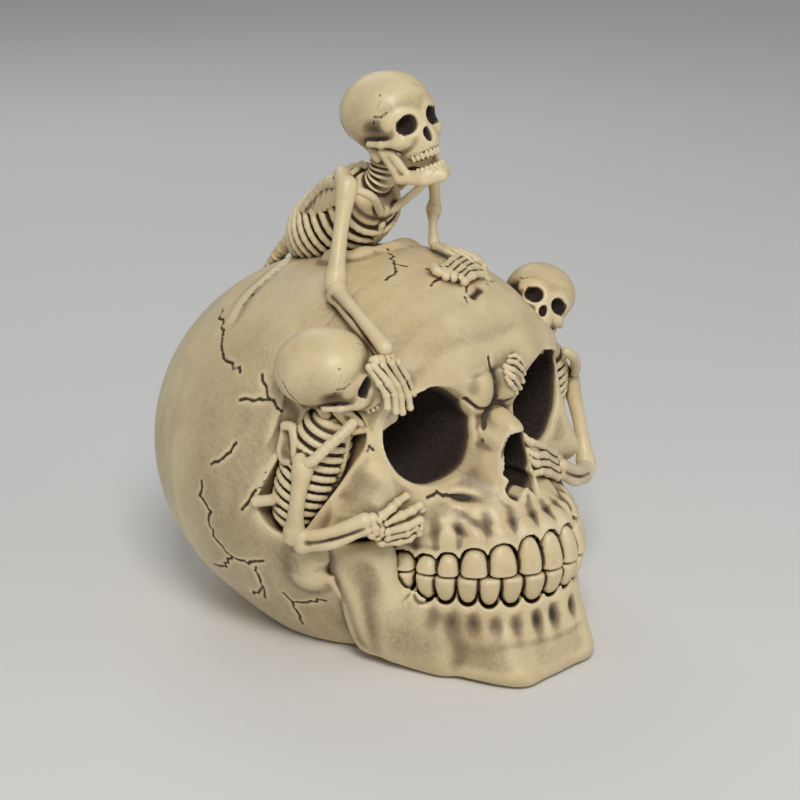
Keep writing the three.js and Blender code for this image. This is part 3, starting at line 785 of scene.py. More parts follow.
def sculptSkull():
    fine, coarse = skull["step"] * detail, skull["coarseStep"] * detail
    wide, deep, high = skull["reach"]
    clay = Clay([
        axis(*wide, fine),
        gradedAxis(*deep, fine * skull["frontStep"], coarse),
        gradedAxis(*high, fine, coarse),
    ])
    for centre, reach in skull["vault"]:
        clay.add(egg(centre, reach), skull["vaultBlend"])
    for centre, reach in skull["inner"]:
        clay.add(egg(centre, reach), skull["innerBlend"])
    border = [(x, clay.frontOf(x, z), z) for x, z in skull["sheetBorder"]]
    face, before, frontAt = sheet(skull["sheet"] + border, *skull["sheetReach"], skull["sheetSlide"])
    clay.cut(before, skull["sheetCutBlend"])
    clay.add(face, skull["sheetBlend"])
    browRadii = np.interp(np.linspace(0, 4, 13), range(5), skull["browRadii"])
    for side in (1, -1):
        clay.addRun(curve(onSide(skull["brow"], side), 13), browRadii, skull["browBlend"])
    for side in (1, -1):
        ring = loopOf(skull["orbit"], 48) * (side, 1)
        hole = bowl(ring, skull["orbitMouth"], skull["orbitDepth"], skull["orbitTaper"])
        clay.cut(hole, skull["orbitBlend"])
        clay.add(rod(*onSide(skull["lobeRoot"], side), *skull["lobeRootRadii"]), skull["lobeRootBlend"])
        for form in skull["lobe"]:
            clay.add(egg(*formOnSide(form, side)), skull["lobeBlend"])
    ridge = curve(skull["nasalRidge"], 7)
    for side in (1, -1):
        flank = curve(onSide(skull["nasalFlank"], side), 7)
        clay.quilt([ridge, flank], skull["flankRadii"], skull["flankBlend"])
    clay.addRun(skull["nasalRidge"], skull["nasalRadii"], skull["nasalBlend"])
    noseRing = loopOf(bothSides(skull["nose"]), 60)
    hole = bowl(noseRing, skull["noseMouth"], skull["noseDepth"], skull["noseTaper"])
    clay.cut(hole, skull["noseBlend"])
    clay.soften(**skull["forehead"])
    for form in skull["lips"]:
        clay.add(egg(*form), skull["lipBlend"])
    clay.stroke(curve(skull["crownRidge"], 9), **skull["crownRidgeForm"])
    clay.addRun(skull["spine"], skull["spineRadii"], skull["spineBlend"])
    for inset, height in skull["gumArches"]:
        clay.addRun(archCurve(inset, height), skull["gumRadius"], skull["gumBlend"])
    sculptRoots(clay)
    carveFace(clay)
    for side in (1, -1):
        clay.cut(rod(*onSide(skull["recess"], side), *skull["recessRadii"]), skull["recessBlend"])
        clay.addRun(onSide(skull["mastoid"], side), skull["mastoidRadii"], skull["mastoidBlend"])
    crackedAlong(clay, skull["crownSeam"], 1, **skull["crownSeamForm"])
    cracks = [onSide(run, side) for side in (1, -1) for run in skull["cracks"]] + skull["crownCracks"]
    for i, run in enumerate(cracks):
        crackedAlong(clay, run, i)
    toothRow("upper", 1, clay)
    clay.cut(slab(*skull["jawRoom"], (0, 0, 0), 0.1), 0)
    clay.keepAbove(skull["base"])

    def marks(places):
        x, y, z = places.T

        def darkness(ring, depth, form):
            near = ringGap(x, z, ring) < form["gap"]
            return near * np.clip((depth - form["start"]) / form["fade"], 0, 1) * (y < form["front"])

        depth = y - np.maximum(frontAt(x, z), skull["rimLimit"])
        dark = darkness(noseRing, y, skull["noseMark"])
        for side in (1, -1):
            ring = loopOf(skull["orbit"], 48) * (side, 1)
            dark = np.maximum(dark, darkness(ring, depth, skull["orbitMark"]))
        return {"socket": dark}

    return meshOf("skull_sculpt", clay, marks)


jaw = {
    "step": 0.5,
    "reach": ((-61, 61), (-94, -28), (-1, 54)),
    "masses": [((0, -56, 22), (24, 24, 12)), ((0, -58, 9), (22, 28, 9))],
    "massBlend": 4,
    "edge": [
        (39, -36, 7), (34, -46, 6), (28.5, -60, 5), (23.5, -75, 4.6), (16.5, -87.2, 4.4), (8, -87.6, 4.4),
        (0, -87.8, 4.4),
    ],
    "rimInset": 5.6,
    "rimHeight": 24.5,
    "middleInset": 6.6,
    "middleHeight": 15,
    "middleShares": (0.55, 0.45),
    "ceiling": 70,
    "rooms": [(-60, (80, 60)), (-70, (34, 60))],
    "outFrom": -45,
    "count": 61,
    "radii": [3.4, 3.8, 4.2],
    "skinBlend": 2.5,
    "gumArch": (6.0, 32),
    "gumRadius": 4.4,
    "gumBlend": 3,
    "hollows": [
        ((-34, -62.5, 25), (-34.5, -63, 18), 0.5), ((-27.6, -66.2, 25.4), (-28, -66.6, 18), 0.5),
        ((-23, -72, 24.5), (-24, -73, 17), 0.9), ((-18.2, -77.7, 23.5), (-19.8, -79.2, 16.5), 0.9),
        ((-12.3, -82, 23), (-14.2, -83.8, 16), 1.0), ((-4.5, -85, 24.5), (-6.2, -86, 16), 1.7),
        ((2.3, -86, 25), (1, -87.3, 16), 1.8), ((13, -85, 24.5), (11, -87, 17), 1.8),
        ((21.5, -80, 24), (22, -80, 17), 1.5),
    ],
    "hollowForm": {"width": 2.7, "height": -0.8, "stain": 0.18},
    "rearRidge": [(56, -31.5, 49), (51.5, -34, 38), (46.8, -35.5, 27), (42, -35, 14), (38, -35, 7)],
    "innerRidge": [(52.5, -34.5, 48), (49.5, -37.5, 38), (45.5, -40, 27), (41.5, -40.5, 15), (37, -41, 7.5)],
    "frontPost": [(42, -46.5, 45.5), (40.8, -46.5, 38), (38.5, -47, 28), (36, -47.5, 18), (33, -48, 9)],
    "rearRadius": 2.4,
    "innerRadius": 2.6,
    "frontRadii": [3.6, 3.0, 3.6],
    "ridgeBlend": 2,
    "postBlend": 3,
    "webRadii": ([2.0, 2.0], [2.2, 2.6]),
    "flow": [
        ((39, -45, 30), (28, -56, 19)), ((37.5, -46, 22), (26.5, -58, 15)),
        ((36, -46.5, 14), (26, -61, 10)), ((33.5, -47, 8), (26, -61, 6)),
    ],
    "flowRadii": (3.2, 4.2),
    "flowBlend": 6,
    "softened": {"low": (-64, -82, -3), "high": (64, -22, 54), "times": 12},
    "top": 37.4,
}


def sculptRamus(clay, side, count):
    rear = curve(onSide(jaw["rearRidge"], side), count)
    inner = curve(onSide(jaw["innerRidge"], side), count)
    front = curve(onSide(jaw["frontPost"], side), count)
    clay.addRun(rear, jaw["rearRadius"], jaw["ridgeBlend"])
    clay.addRun(inner[9:], jaw["innerRadius"], jaw["ridgeBlend"])
    clay.addRun(front, np.interp(np.arange(count), [0, 15, 60], jaw["frontRadii"]), jaw["postBlend"])
    clay.quilt([rear, inner], jaw["webRadii"][0], jaw["ridgeBlend"])
    clay.quilt([inner[2:], front[2:]], jaw["webRadii"][1], jaw["postBlend"])
    flow = [onSide(pair, side) for pair in jaw["flow"]]
    starts = curve([pair[0] for pair in flow], 21)
    stops = curve([pair[1] for pair in flow], 21)
    for ends in zip(starts, stops):
        clay.add(rod(*ends, *jaw["flowRadii"]), jaw["flowBlend"])


# What stands higher than the jaw goes, once before its surface is softened and once after
def clearAbove(clay, room):
    y, half = room
    height = jaw["ceiling"] - jaw["top"]
    clay.cut(slab((0, y, jaw["ceiling"]), (*half, height), (0, 0, 0), 0.1), 0)


def sculptJaw():
    step = jaw["step"] * detail
    clay = Clay([axis(low, high, step) for low, high in jaw["reach"]])
    for centre, reach in jaw["masses"]:
        clay.add(egg(centre, reach), jaw["massBlend"])
    count = jaw["count"]
    edge = curve(onSide(jaw["edge"], -1) + onSide(jaw["edge"][-2::-1], 1), count)
    rim = np.array(archCurve(jaw["rimInset"], jaw["rimHeight"], count))
    lower = np.array(archCurve(jaw["middleInset"], jaw["middleHeight"], count))
    share, rest = jaw["middleShares"]
    middle = lower * share + edge * (rest, rest, 0) + (0, 0, jaw["middleHeight"] * rest)
    clay.quilt([edge, middle, rim], jaw["radii"], jaw["skinBlend"])
    clay.addRun(archCurve(*jaw["gumArch"]), jaw["gumRadius"], jaw["gumBlend"])
    clearAbove(clay, jaw["rooms"][0])
    for side in (1, -1):
        sculptRamus(clay, side, count)
    clay.soften(**jaw["softened"])
    form = jaw["hollowForm"]
    for top, bottom, depth in jaw["hollows"]:
        out = np.array([top[0], top[1] - jaw["outFrom"], 0])
        out = out / np.linalg.norm(out)
        clay.stroke([top, bottom], form["width"], form["height"] * depth, out, form["stain"] * depth, True)
    clearAbove(clay, jaw["rooms"][1])
    toothRow("lower", -1, clay)
    clay.keepAbove(skull["base"])
    return meshOf("jaw_sculpt", clay)


# The little skeletons: each head has its own frame, with the face towards -y
bones = {
    "step": 0.42,
    "handStep": 0.34,
    # how much darker the little skeletons are painted, all over and more in their hollows: partly a heavier
    # wash, partly painted shade
    "skeletonWashAndShade": 0.42,
    "upperArm": 2.9,
    "forearm": 2.3,
    "thin": {"top_left_upper_arm": 2.25, "top_left_forearm": 1.8},
}
heads = {
    "top": {"origin": (0.5, -8.5, 180.5), "turn": (-0.35, -0.14, -0.08), "scale": 0.96},
    "right": {"origin": (-53.5, -33.8, 108), "turn": (0, -0.5, 0.5), "scale": 0.91},
    "left": {"origin": (49.2, -34.3, 110.9), "turn": (-0.15, 0.71, -0.57), "scale": 0.83},
}
headForms = {
    "reach": ((-17, 17), (-20, 20), (-28, 19)),
    "crackForm": {"middle": (0, 2, 3), "wobble": 0.3, "width": 0.26},
    "softened": {"low": (-30, -30, -13), "high": (30, 30, 30), "times": 4, "radius": 2},
    "brain": [((0, 2.2, 4), (15.2, 16.4, 13.4)), ((0, -5.6, 4), (12.8, 10.9, 9.8)), ((0, 3, -7), (9, 10, 5))],
    "face": [
        ((0, -9.5, -7), (8, 7.5, 8)), ((0, -11.5, -12.3), (6, 5.4, 3.6)), ((0, -7.2, -1.2), (11.4, 8.2, 6.2)),
    ],
    "brow": [(1.4, -15.3, -0.9), (5.5, -14.9, 1.0), (9.5, -12.3, 0.5), (11.2, -9.4, -1.5)],
    "socket": ((5.6, -15.8, -3.3), (3.5, 6.5, 3.4)),
    "bridge": [(0, -15.2, -1.6), (0, -16.9, -5.6)],
    "cheekbone": ((8.0, -10.8, -8), (3.6, 4.2, 2.8)),
    "throat": ((0, -9, -14.5), (4, 5.2, 5)),
    "socketMark": {"gap": 0.8, "start": -15.2, "fade": 1.5},
    "noseMark": {"gap": 0.5, "start": -16, "fade": 1},
    "markShare": 0.9,
    "nose": ((0, -17, -8.8), (1.9, 4, 2.7)),
    "cheek": [(9.8, -10.5, -8), (12.1, -5, -7), (12.5, 0.5, -5.6)],
    "cheekRadii": [1.5, 1.1, 1.1],
    "temple": ((15, -6.5, -2.2), (3.2, 5, 3.8)),
    "mastoid": ((9.6, 2.5, -9), (2.3, 2.6, 4)),
    "cracks": [
        [(-6, 13.5, 11), (-11, 11, 8), (-13.6, 9.5, 3), (-13.4, 9, -2)],
        [(-9, -10, 9), (-11, -8, 4), (-12.4, -6, 1)],
        [(-12.4, -8, 3), (-10, -11.5, 3)],
        [(3, -13, 9), (4.5, -14.3, 4), (3, -14.8, 1)],
        [(9, -11, 8), (12, -8, 4)],
    ],
    "browRadius": 0.9,
    "bridgeRadii": [1.2, 0.9],
    "blend": {
        "brain": 4, "face": 5, "temple": 3, "brow": 2.2, "mastoid": 1, "cheekbone": 2.5,
        "cheek": 1.2, "socket": 0.8, "throat": 1, "bridge": 0.8, "nose": 0.3,
        "ramus": 1.2, "web": 1, "gum": 1.2,
    },
    "toothArch": (5.4, 5.6, -10.6),
    "toothCount": 10,
    "toothTurn": 18,
    "toothReach": (0.84, 0.9, 1.65),
    "toothHollow": (0.96, 0.95, 1.7),
    "toothBlends": {"hollow": 0.2, "tooth": 0.1},
    "hollowRise": 0.4,
    "toothCore": {"share": 0.72, "rise": 0.3, "radius": 1.2, "blend": 0.3},
    "gumMass": {"share": 0.85, "height": -21.8, "reach": (1.4, 1.6, 1.8), "blend": 0.8},
    "upperTeeth": -15.2,
    "lowerTeeth": -20.4,
    "ramus": [(10.4, -2.6, -9.5), (8.6, -4.6, -20.4), (5.2, -12.4, -23.4), (0, -16, -24)],
    "ramusRadii": [1.5, 1.8, 2.0, 2.2],
    "ramusFront": [(9.2, -6.0, -11), (7.4, -7.6, -19.5)],
    "ramusWeb": [1.3, 1.2],
    "gumWeb": [1.6, 1.3],
    "gum": [(5.4, -8.5, -20.6), (4.6, -13.6, -21.6), (0, -15.6, -21.8)],
}


def onLittleArch(angle, share=1.0):
    wide, deep, back = headForms["toothArch"]
    return wide * share * math.sin(angle), back - deep * share * math.cos(angle)


def littleTeeth(clay, height, up):
    count, turn, blends = headForms["toothCount"], headForms["toothTurn"], headForms["toothBlends"]
    angles = [math.radians(turn * (i - (count - 1) / 2)) for i in range(count)]
    for angle in angles:
        x, y = onLittleArch(angle)
        place = (x, y, height + up * headForms["hollowRise"])
        clay.cut(egg(place, headForms["toothHollow"], (0, 0, angle)), blends["hollow"])
    for angle in angles:
        place = (*onLittleArch(angle), height)
        clay.add(egg(place, headForms["toothReach"], (0, 0, angle)), blends["tooth"])
    core, run = headForms["toothCore"], []
    for angle in range(-80, 81, 20):
        run.append((*onLittleArch(math.radians(angle), core["share"]), height + up * core["rise"]))
    clay.addRun(run, core["radius"], core["blend"])


def littleSkull(clay):
    blend = headForms["blend"]
    for name in ("brain", "face"):
        for form in headForms[name]:
            clay.add(egg(*form), blend[name])
    for side in (1, -1):
        clay.cut(egg(*formOnSide(headForms["temple"], side)), blend["temple"])
        clay.addRun(curve(onSide(headForms["brow"], side), 9), headForms["browRadius"], blend["brow"])
        for name in ("mastoid", "cheekbone"):
            clay.add(egg(*formOnSide(headForms[name], side)), blend[name])
    clay.soften(**headForms["softened"])
    for side in (1, -1):
        clay.addRun(onSide(headForms["cheek"], side), headForms["cheekRadii"], blend["cheek"])
        clay.cut(egg(*formOnSide(headForms["socket"], side)), blend["socket"])
    clay.add(egg(*headForms["throat"]), blend["throat"])
    clay.addRun(headForms["bridge"], headForms["bridgeRadii"], blend["bridge"])
    clay.cut(egg(*headForms["nose"]), blend["nose"])
    for i, run in enumerate(headForms["cracks"]):
        crackedAlong(clay, run, i, **headForms["crackForm"])
    littleTeeth(clay, headForms["upperTeeth"], 1)


def littleJaw(clay):
    blend, mass = headForms["blend"], headForms["gumMass"]
    for side in (1, -1):
        edge = onSide(headForms["ramus"], side)
        clay.addRun(edge, headForms["ramusRadii"], blend["ramus"])
        front = curve(onSide(headForms["ramusFront"], side), 7)
        clay.quilt([curve(edge[:2], 7), front], headForms["ramusWeb"], blend["web"])
        gum = curve(onSide(headForms["gum"], side), 9)
        clay.quilt([curve(edge[1:], 9), gum], headForms["gumWeb"], blend["gum"])
    for i in range(-4, 5):
        x, y = onLittleArch(math.radians(headForms["toothTurn"] * i), mass["share"])
        clay.add(egg((x, y, mass["height"]), mass["reach"]), mass["blend"])
    littleTeeth(clay, headForms["lowerTeeth"], -1)


def sculptHead(which, parts, name, nodes):
    step = bones["step"] * detail
    clay = Clay([axis(low, high, step) for low, high in headForms["reach"]], **heads[which])
    for part in parts:
        part(clay)

    def marks(places):
        x, y, z = ((places - clay.origin) @ np.linalg.inv(clay.basis).T).T

        def darkness(form, mark):
            _, _, distance = egg(*form)
            near = np.abs(distance(x, y, z)) < mark["gap"]
            return near * np.clip((y - mark["start"]) / mark["fade"], 0, 1)

        dark = darkness(headForms["nose"], headForms["noseMark"])
        for side in (1, -1):
            form = formOnSide(headForms["socket"], side)
            dark = np.maximum(dark, darkness(form, headForms["socketMark"]))
        return {"socket": dark * headForms["markShare"]}

    return finished(meshOf(name, clay, marks), nodes)


def finished(piece, nodes):
    piece["stands"] = json.dumps(nodes)
    # The little skeletons get this extra darkening, partly heavier wash and partly painted shade; the skull
    # and jaw get none
    skeletonWashAndShade = 0.0 if nodes[0] in ("skull_casting", "jaw") else bones["skeletonWashAndShade"]
    values = np.full(len(piece.data.vertices), skeletonWashAndShade, np.float32)
    piece.data.attributes.new("skeletonWashAndShade", "FLOAT", "POINT").data.foreach_set("value", values)
    return piece


def boxAround(points, margin, step):
    points = np.array(points, float).reshape(-1, 3)
    low, high = points.min(0) - margin, points.max(0) + margin
    return Clay([axis(low[i], high[i], step) for i in range(3)])


rings = {
    "core": 0.72,
    "coreBlend": 1,
    "depth": 0.85,
    "blend": 0.6,
}


def ringed(clay, points, wide, thick, count):
    path = curve(points, count * 2 + 1)
    clay.addRun(path, wide * rings["core"], rings["coreBlend"])
    for i in range(1, len(path), 2):
        way = path[i + 1 if i + 1 < len(path) else i] - path[i - 1]
        turn = Vector(way).to_track_quat("Z", "Y").to_euler("ZYX")
        reach = (wide, wide * rings["depth"], thick)
        clay.add(egg(path[i], reach, (turn.x, turn.y, turn.z)), rings["blend"])


cage = {
    "ribRadius": 1.2,
    "ribSetIn": 1.3,
    "taper": 0.82,
    "lift": 0.06,
    "coreLevels": 12,
    "coreSpokes": 24,
    "coreSetIn": 1.5,
    "coreRadius": 2.1,
    "coreBlend": 1.6,
    "coreSpan": 0.95,
    "coreSoftened": 5,
    "softRoom": 40,
    "ribBlend": 0.25,
    "backShare": 0.9,
    "backBlend": 0.5,
    "ribSpan": 0.88,
    "ribPoints": 29,
    "breastEnd": 0.4,
    "breastRadius": 1.6,
    "vertebrae": (2.2, 1.6),
}


# A cage hangs from top to bottom, with ribs that dip by tilt towards its front
def ribCage(clay, top, bottom, front, width, depth, count, tilt):
    top, bottom = np.array(top, float), np.array(bottom, float)
    down = (bottom - top) / np.linalg.norm(bottom - top)
    ahead = np.array(front, float)
    ahead -= down * (ahead @ down)
    ahead /= np.linalg.norm(ahead)
    across = np.cross(ahead, down)
    length = np.linalg.norm(bottom - top)

    def girth(level):
        return math.sqrt(max(0.0, 1 - (level * cage["taper"] + cage["lift"]) ** 2))

    for level in np.linspace(-cage["coreSpan"], cage["coreSpan"], cage["coreLevels"]):
        middle = (top + bottom) / 2 + down * level * length / 2
        for turn in np.linspace(0, 2 * math.pi, cage["coreSpokes"] + 1)[:-1]:
            side = across * math.sin(turn) * (width / 2 * girth(level) - cage["ribSetIn"] - cage["coreSetIn"])
            deep = ahead * math.cos(turn) * (depth / 2 * girth(level) - cage["ribSetIn"] - cage["coreSetIn"])
            clay.add(rod(middle, middle + side + deep, cage["coreRadius"]), cage["coreBlend"])
    low, high = np.minimum(top, bottom) - cage["softRoom"], np.maximum(top, bottom) + cage["softRoom"]
    clay.soften(low, high, cage["coreSoftened"])
    for i in range(count):
        level = -cage["ribSpan"] + 2 * cage["ribSpan"] * i / (count - 1)
        loop = []
        for turn in np.linspace(0, 2 * math.pi, cage["ribPoints"]):
            middle = (top + bottom) / 2 + down * (level * length / 2 + tilt * (1 - math.cos(turn)) / 2)
            at = min(1.0, max(-1.0, level + tilt / length * (1 - math.cos(turn))))
            side = across * math.sin(turn) * width / 2 * girth(at)
            loop.append(middle + side - ahead * math.cos(turn) * depth / 2 * girth(at))
        clay.addRun(loop, cage["ribRadius"], cage["ribBlend"])
    back, breast = [], []
    for level in np.linspace(-1.0, 1.0, count * 2 + 1):
        middle = (top + bottom) / 2 + down * level * length / 2
        back.append(middle - ahead * depth / 2 * girth(level * cage["backShare"]))
        if level < cage["breastEnd"]:
            breast.append(middle + ahead * depth / 2 * girth(min(1.0, level + tilt / length)) + down * tilt)
    for i, place in enumerate(back):
        clay.add(egg(place, (cage["vertebrae"][1 - i % 2],) * 3), cage["backBlend"])
    clay.addRun(breast, cage["breastRadius"], cage["backBlend"])


# A shoulder blade is a web from its ridge down to its edge
def shoulderBlade(clay, form, side, count):
    ridge = curve(onSide(form["blade"], side), count)
    for low, high in zip(ridge, curve(onSide(form["bladeEdge"], side), count)):
        clay.add(rod(low, high, form["webRadius"]), form["blend"]["web"])
    clay.addRun(ridge, form["bladeRadius"], form["blend"]["blade"])


topTorso = {
    "reach": ((-26, 26), (-24, 66), (102, 172)),
    "blade": [(20, -7, 161.5), (17, 6, 158), (14.5, 19, 147)],
    "bladeEdge": [(16, 2, 152), (15.5, 12, 147), (14.5, 19, 147)],
    "shoulder": ((20.5, -8.5, 160.5), (3.6, 3.6, 3.6)),
    "neck": [(0, -7, 166.5), (0, -5, 160), (0, 2, 154.5)],
    "cage": ((0, -3, 154), (0, 34, 129), (0, -0.5, -1), 32, 27, 10, 5.0),
    "collar": [(19.5, -10.5, 160), (12, -12.5, 156), (3, -7.5, 148)],
    "acromion": [(21, -8, 162), (16, -2, 163), (9, 3, 158)],
    "neckRings": (6.0, 0.9, 7),
    "tailRings": (3.2, 1.2, 8),
    "collarRadius": 1.25,
    "acromionRadius": 2.4,
    "webRadius": 1.0,
    "bladeRadius": 1.7,
    "blend": {"collar": 0.8, "acromion": 1.5, "web": 1, "blade": 0.8, "shoulder": 1},
    "tail": [(0, 36, 134), (0, 48, 123), (0, 60, 107)],
}


def sculptTopTorso():
    clay = Clay([axis(low, high, bones["step"] * detail) for low, high in topTorso["reach"]])
    ribCage(clay, *topTorso["cage"])
    ringed(clay, topTorso["neck"], *topTorso["neckRings"])
    ringed(clay, topTorso["tail"], *topTorso["tailRings"])
    blend = topTorso["blend"]
    for side in (1, -1):
        clay.addRun(curve(onSide(topTorso["collar"], side), 16), topTorso["collarRadius"], blend["collar"])
        acromion = curve(onSide(topTorso["acromion"], side), 8)
        clay.addRun(acromion, topTorso["acromionRadius"], blend["acromion"])
        shoulderBlade(clay, topTorso, side, 9)
        clay.add(egg(*formOnSide(topTorso["shoulder"], side)), blend["shoulder"])
    return finished(meshOf("top_torso_sculpt", clay), ["top_torso"])


sideTorso = {
    "reach": ((-74, -38), (-56, -10), (50, 106)),
    "shoulder": ((-65.5, -34, 80.5), (3.2, 3.2, 3.2)),
    "cage": ((-52, -34, 92.5), (-60, -22, 54.5), (0.3, -0.95, 0), 22, 19, 11, 1.5),
    "neck": [(-52, -33, 103), (-53, -34, 97), (-53.5, -36, 91)],
    "collar": [
        (-66.5, -35, 80.5), (-65.5, -39, 82), (-62, -42, 86.5), (-57.5, -44.5, 90.5), (-53, -45, 93.5),
    ],
    "neckRings": (4.2, 0.9, 5),
    "collarRadius": 1.7,
    "webRadius": 1.1,
    "bladeRadius": 1.5,
    "blend": {"collar": 0.8, "web": 0.8, "blade": 0.8, "spur": 1, "shoulder": 0.8},
    "spurRadii": [2.0, 1.9],
    "blade": [(-66, -32, 81), (-62, -26.5, 88.5), (-62, -22, 89)],
    "bladeEdge": [(-66, -32, 81), (-66, -26, 78.5), (-65, -22.5, 81.5)],
    "spur": [(-66, -23.5, 64.5), (-71, -17, 63.2)],
}


def sculptSideTorso(side, name, node):
    wide, deep, high = sideTorso["reach"]
    spans = [sorted((wide[0] * side, wide[1] * side)), deep, high]
    clay = Clay([axis(*span, bones["step"] * detail) for span in spans])
    ribCage(clay, *onSide(sideTorso["cage"][:3], side), *sideTorso["cage"][3:])
    ringed(clay, onSide(sideTorso["neck"], side), *sideTorso["neckRings"])
    blend = sideTorso["blend"]
    clay.addRun(curve(onSide(sideTorso["collar"], side), 12), sideTorso["collarRadius"], blend["collar"])
    shoulderBlade(clay, sideTorso, side, 12)
    clay.addRun(onSide(sideTorso["spur"], side), sideTorso["spurRadii"], blend["spur"])
    clay.add(egg(*formOnSide(sideTorso["shoulder"], side)), blend["shoulder"])
    return finished(meshOf(name, clay), [node])


arms = {
    "top_right_upper_arm": [(-21, -9.6, 161), (-27.5, -13, 146), (-34, -17, 131)],
    "top_left_upper_arm": [(21, -9, 158), (21, -10, 151), (20, -10.5, 145)],
    "right_upper_arm": [(-66, -35, 79), (-68.8, -35, 67.5), (-69.6, -33.8, 55.5)],
    "left_upper_arm": [(68, -34, 78), (66.5, -41, 62), (63, -48, 47)],
}
forearms = {
    "top_right_forearm": [(-35, -19, 128.5), (-40, -33, 124), (-43.5, -50, 117)],
    "top_left_forearm": [(20, -10.5, 145), (18, -12, 140), (16, -14.5, 135)],
    "right_forearm": [(-68.3, -36.3, 54), (-63.3, -45, 56), (-55, -53, 60.8)],
    "left_forearm": [(53, -55, 50), (40, -62, 54), (29, -64, 60)],
}

# How thick a bone is along its length, as places and shares of its thickness.
# apart is how far a forearm's two bones lie from its middle, in millimetres.
boneShapes = {
    "upper": ([0, 0.1, 0.22, 0.5, 0.8, 0.92, 1], [1.3, 1.25, 1.0, 0.88, 1.0, 1.3, 1.25]),
    "heavy": ([0, 0.15, 0.5, 0.85, 1], [1.3, 1.0, 0.85, 1.05, 1.2]),
    "light": ([0, 0.15, 0.5, 0.85, 1], [1.35, 1.05, 0.8, 0.75, 0.95]),
    "apart": ([0, 0.5, 1], [1.2, 2.1, 1.5]),
}
armForm = {"count": 13, "room": 7, "softRoom": 12, "softened": 3}
forearmForm = {"count": 13, "room": 8, "softRoom": 14, "softened": 2, "elbow": 1.4, "elbowBlend": 0.8}


def sculptArm(name, points, thick):
    clay = boxAround(points, armForm["room"], bones["step"] * detail)
    count, spare = armForm["count"], armForm["softRoom"]
    shape = np.interp(np.linspace(0, 1, count), *boneShapes["upper"])
    clay.addRun(curve(points, count), shape * thick)
    clay.soften(np.min(points, 0) - spare, np.max(points, 0) + spare, armForm["softened"])
    return finished(meshOf(name + "_sculpt", clay), [name])


def sculptForearm(name, points, thick):
    clay = boxAround(points, forearmForm["room"], bones["step"] * detail)
    count, spare = forearmForm["count"], forearmForm["softRoom"]
    path = curve(points, count)
    way = path[-1] - path[0]
    apart = np.cross(way, np.array([0, 0, 1.0]))
    outward = np.cross(apart, way)
    outward /= np.linalg.norm(outward)
    ends = np.linspace(0, 1, count)
    gap = np.interp(ends, *boneShapes["apart"])[:, None] * outward
    clay.addRun(path + gap, np.interp(ends, *boneShapes["heavy"]) * thick)
    clay.addRun(path - gap, np.interp(ends, *boneShapes["light"]) * thick)
    elbow = rod(path[0] - gap[0], path[0] + gap[0], thick * forearmForm["elbow"])
    clay.add(elbow, forearmForm["elbowBlend"])
    clay.soften(np.min(points, 0) - spare, np.max(points, 0) + spare, forearmForm["softened"])
    return finished(meshOf(name + "_sculpt", clay), [name])


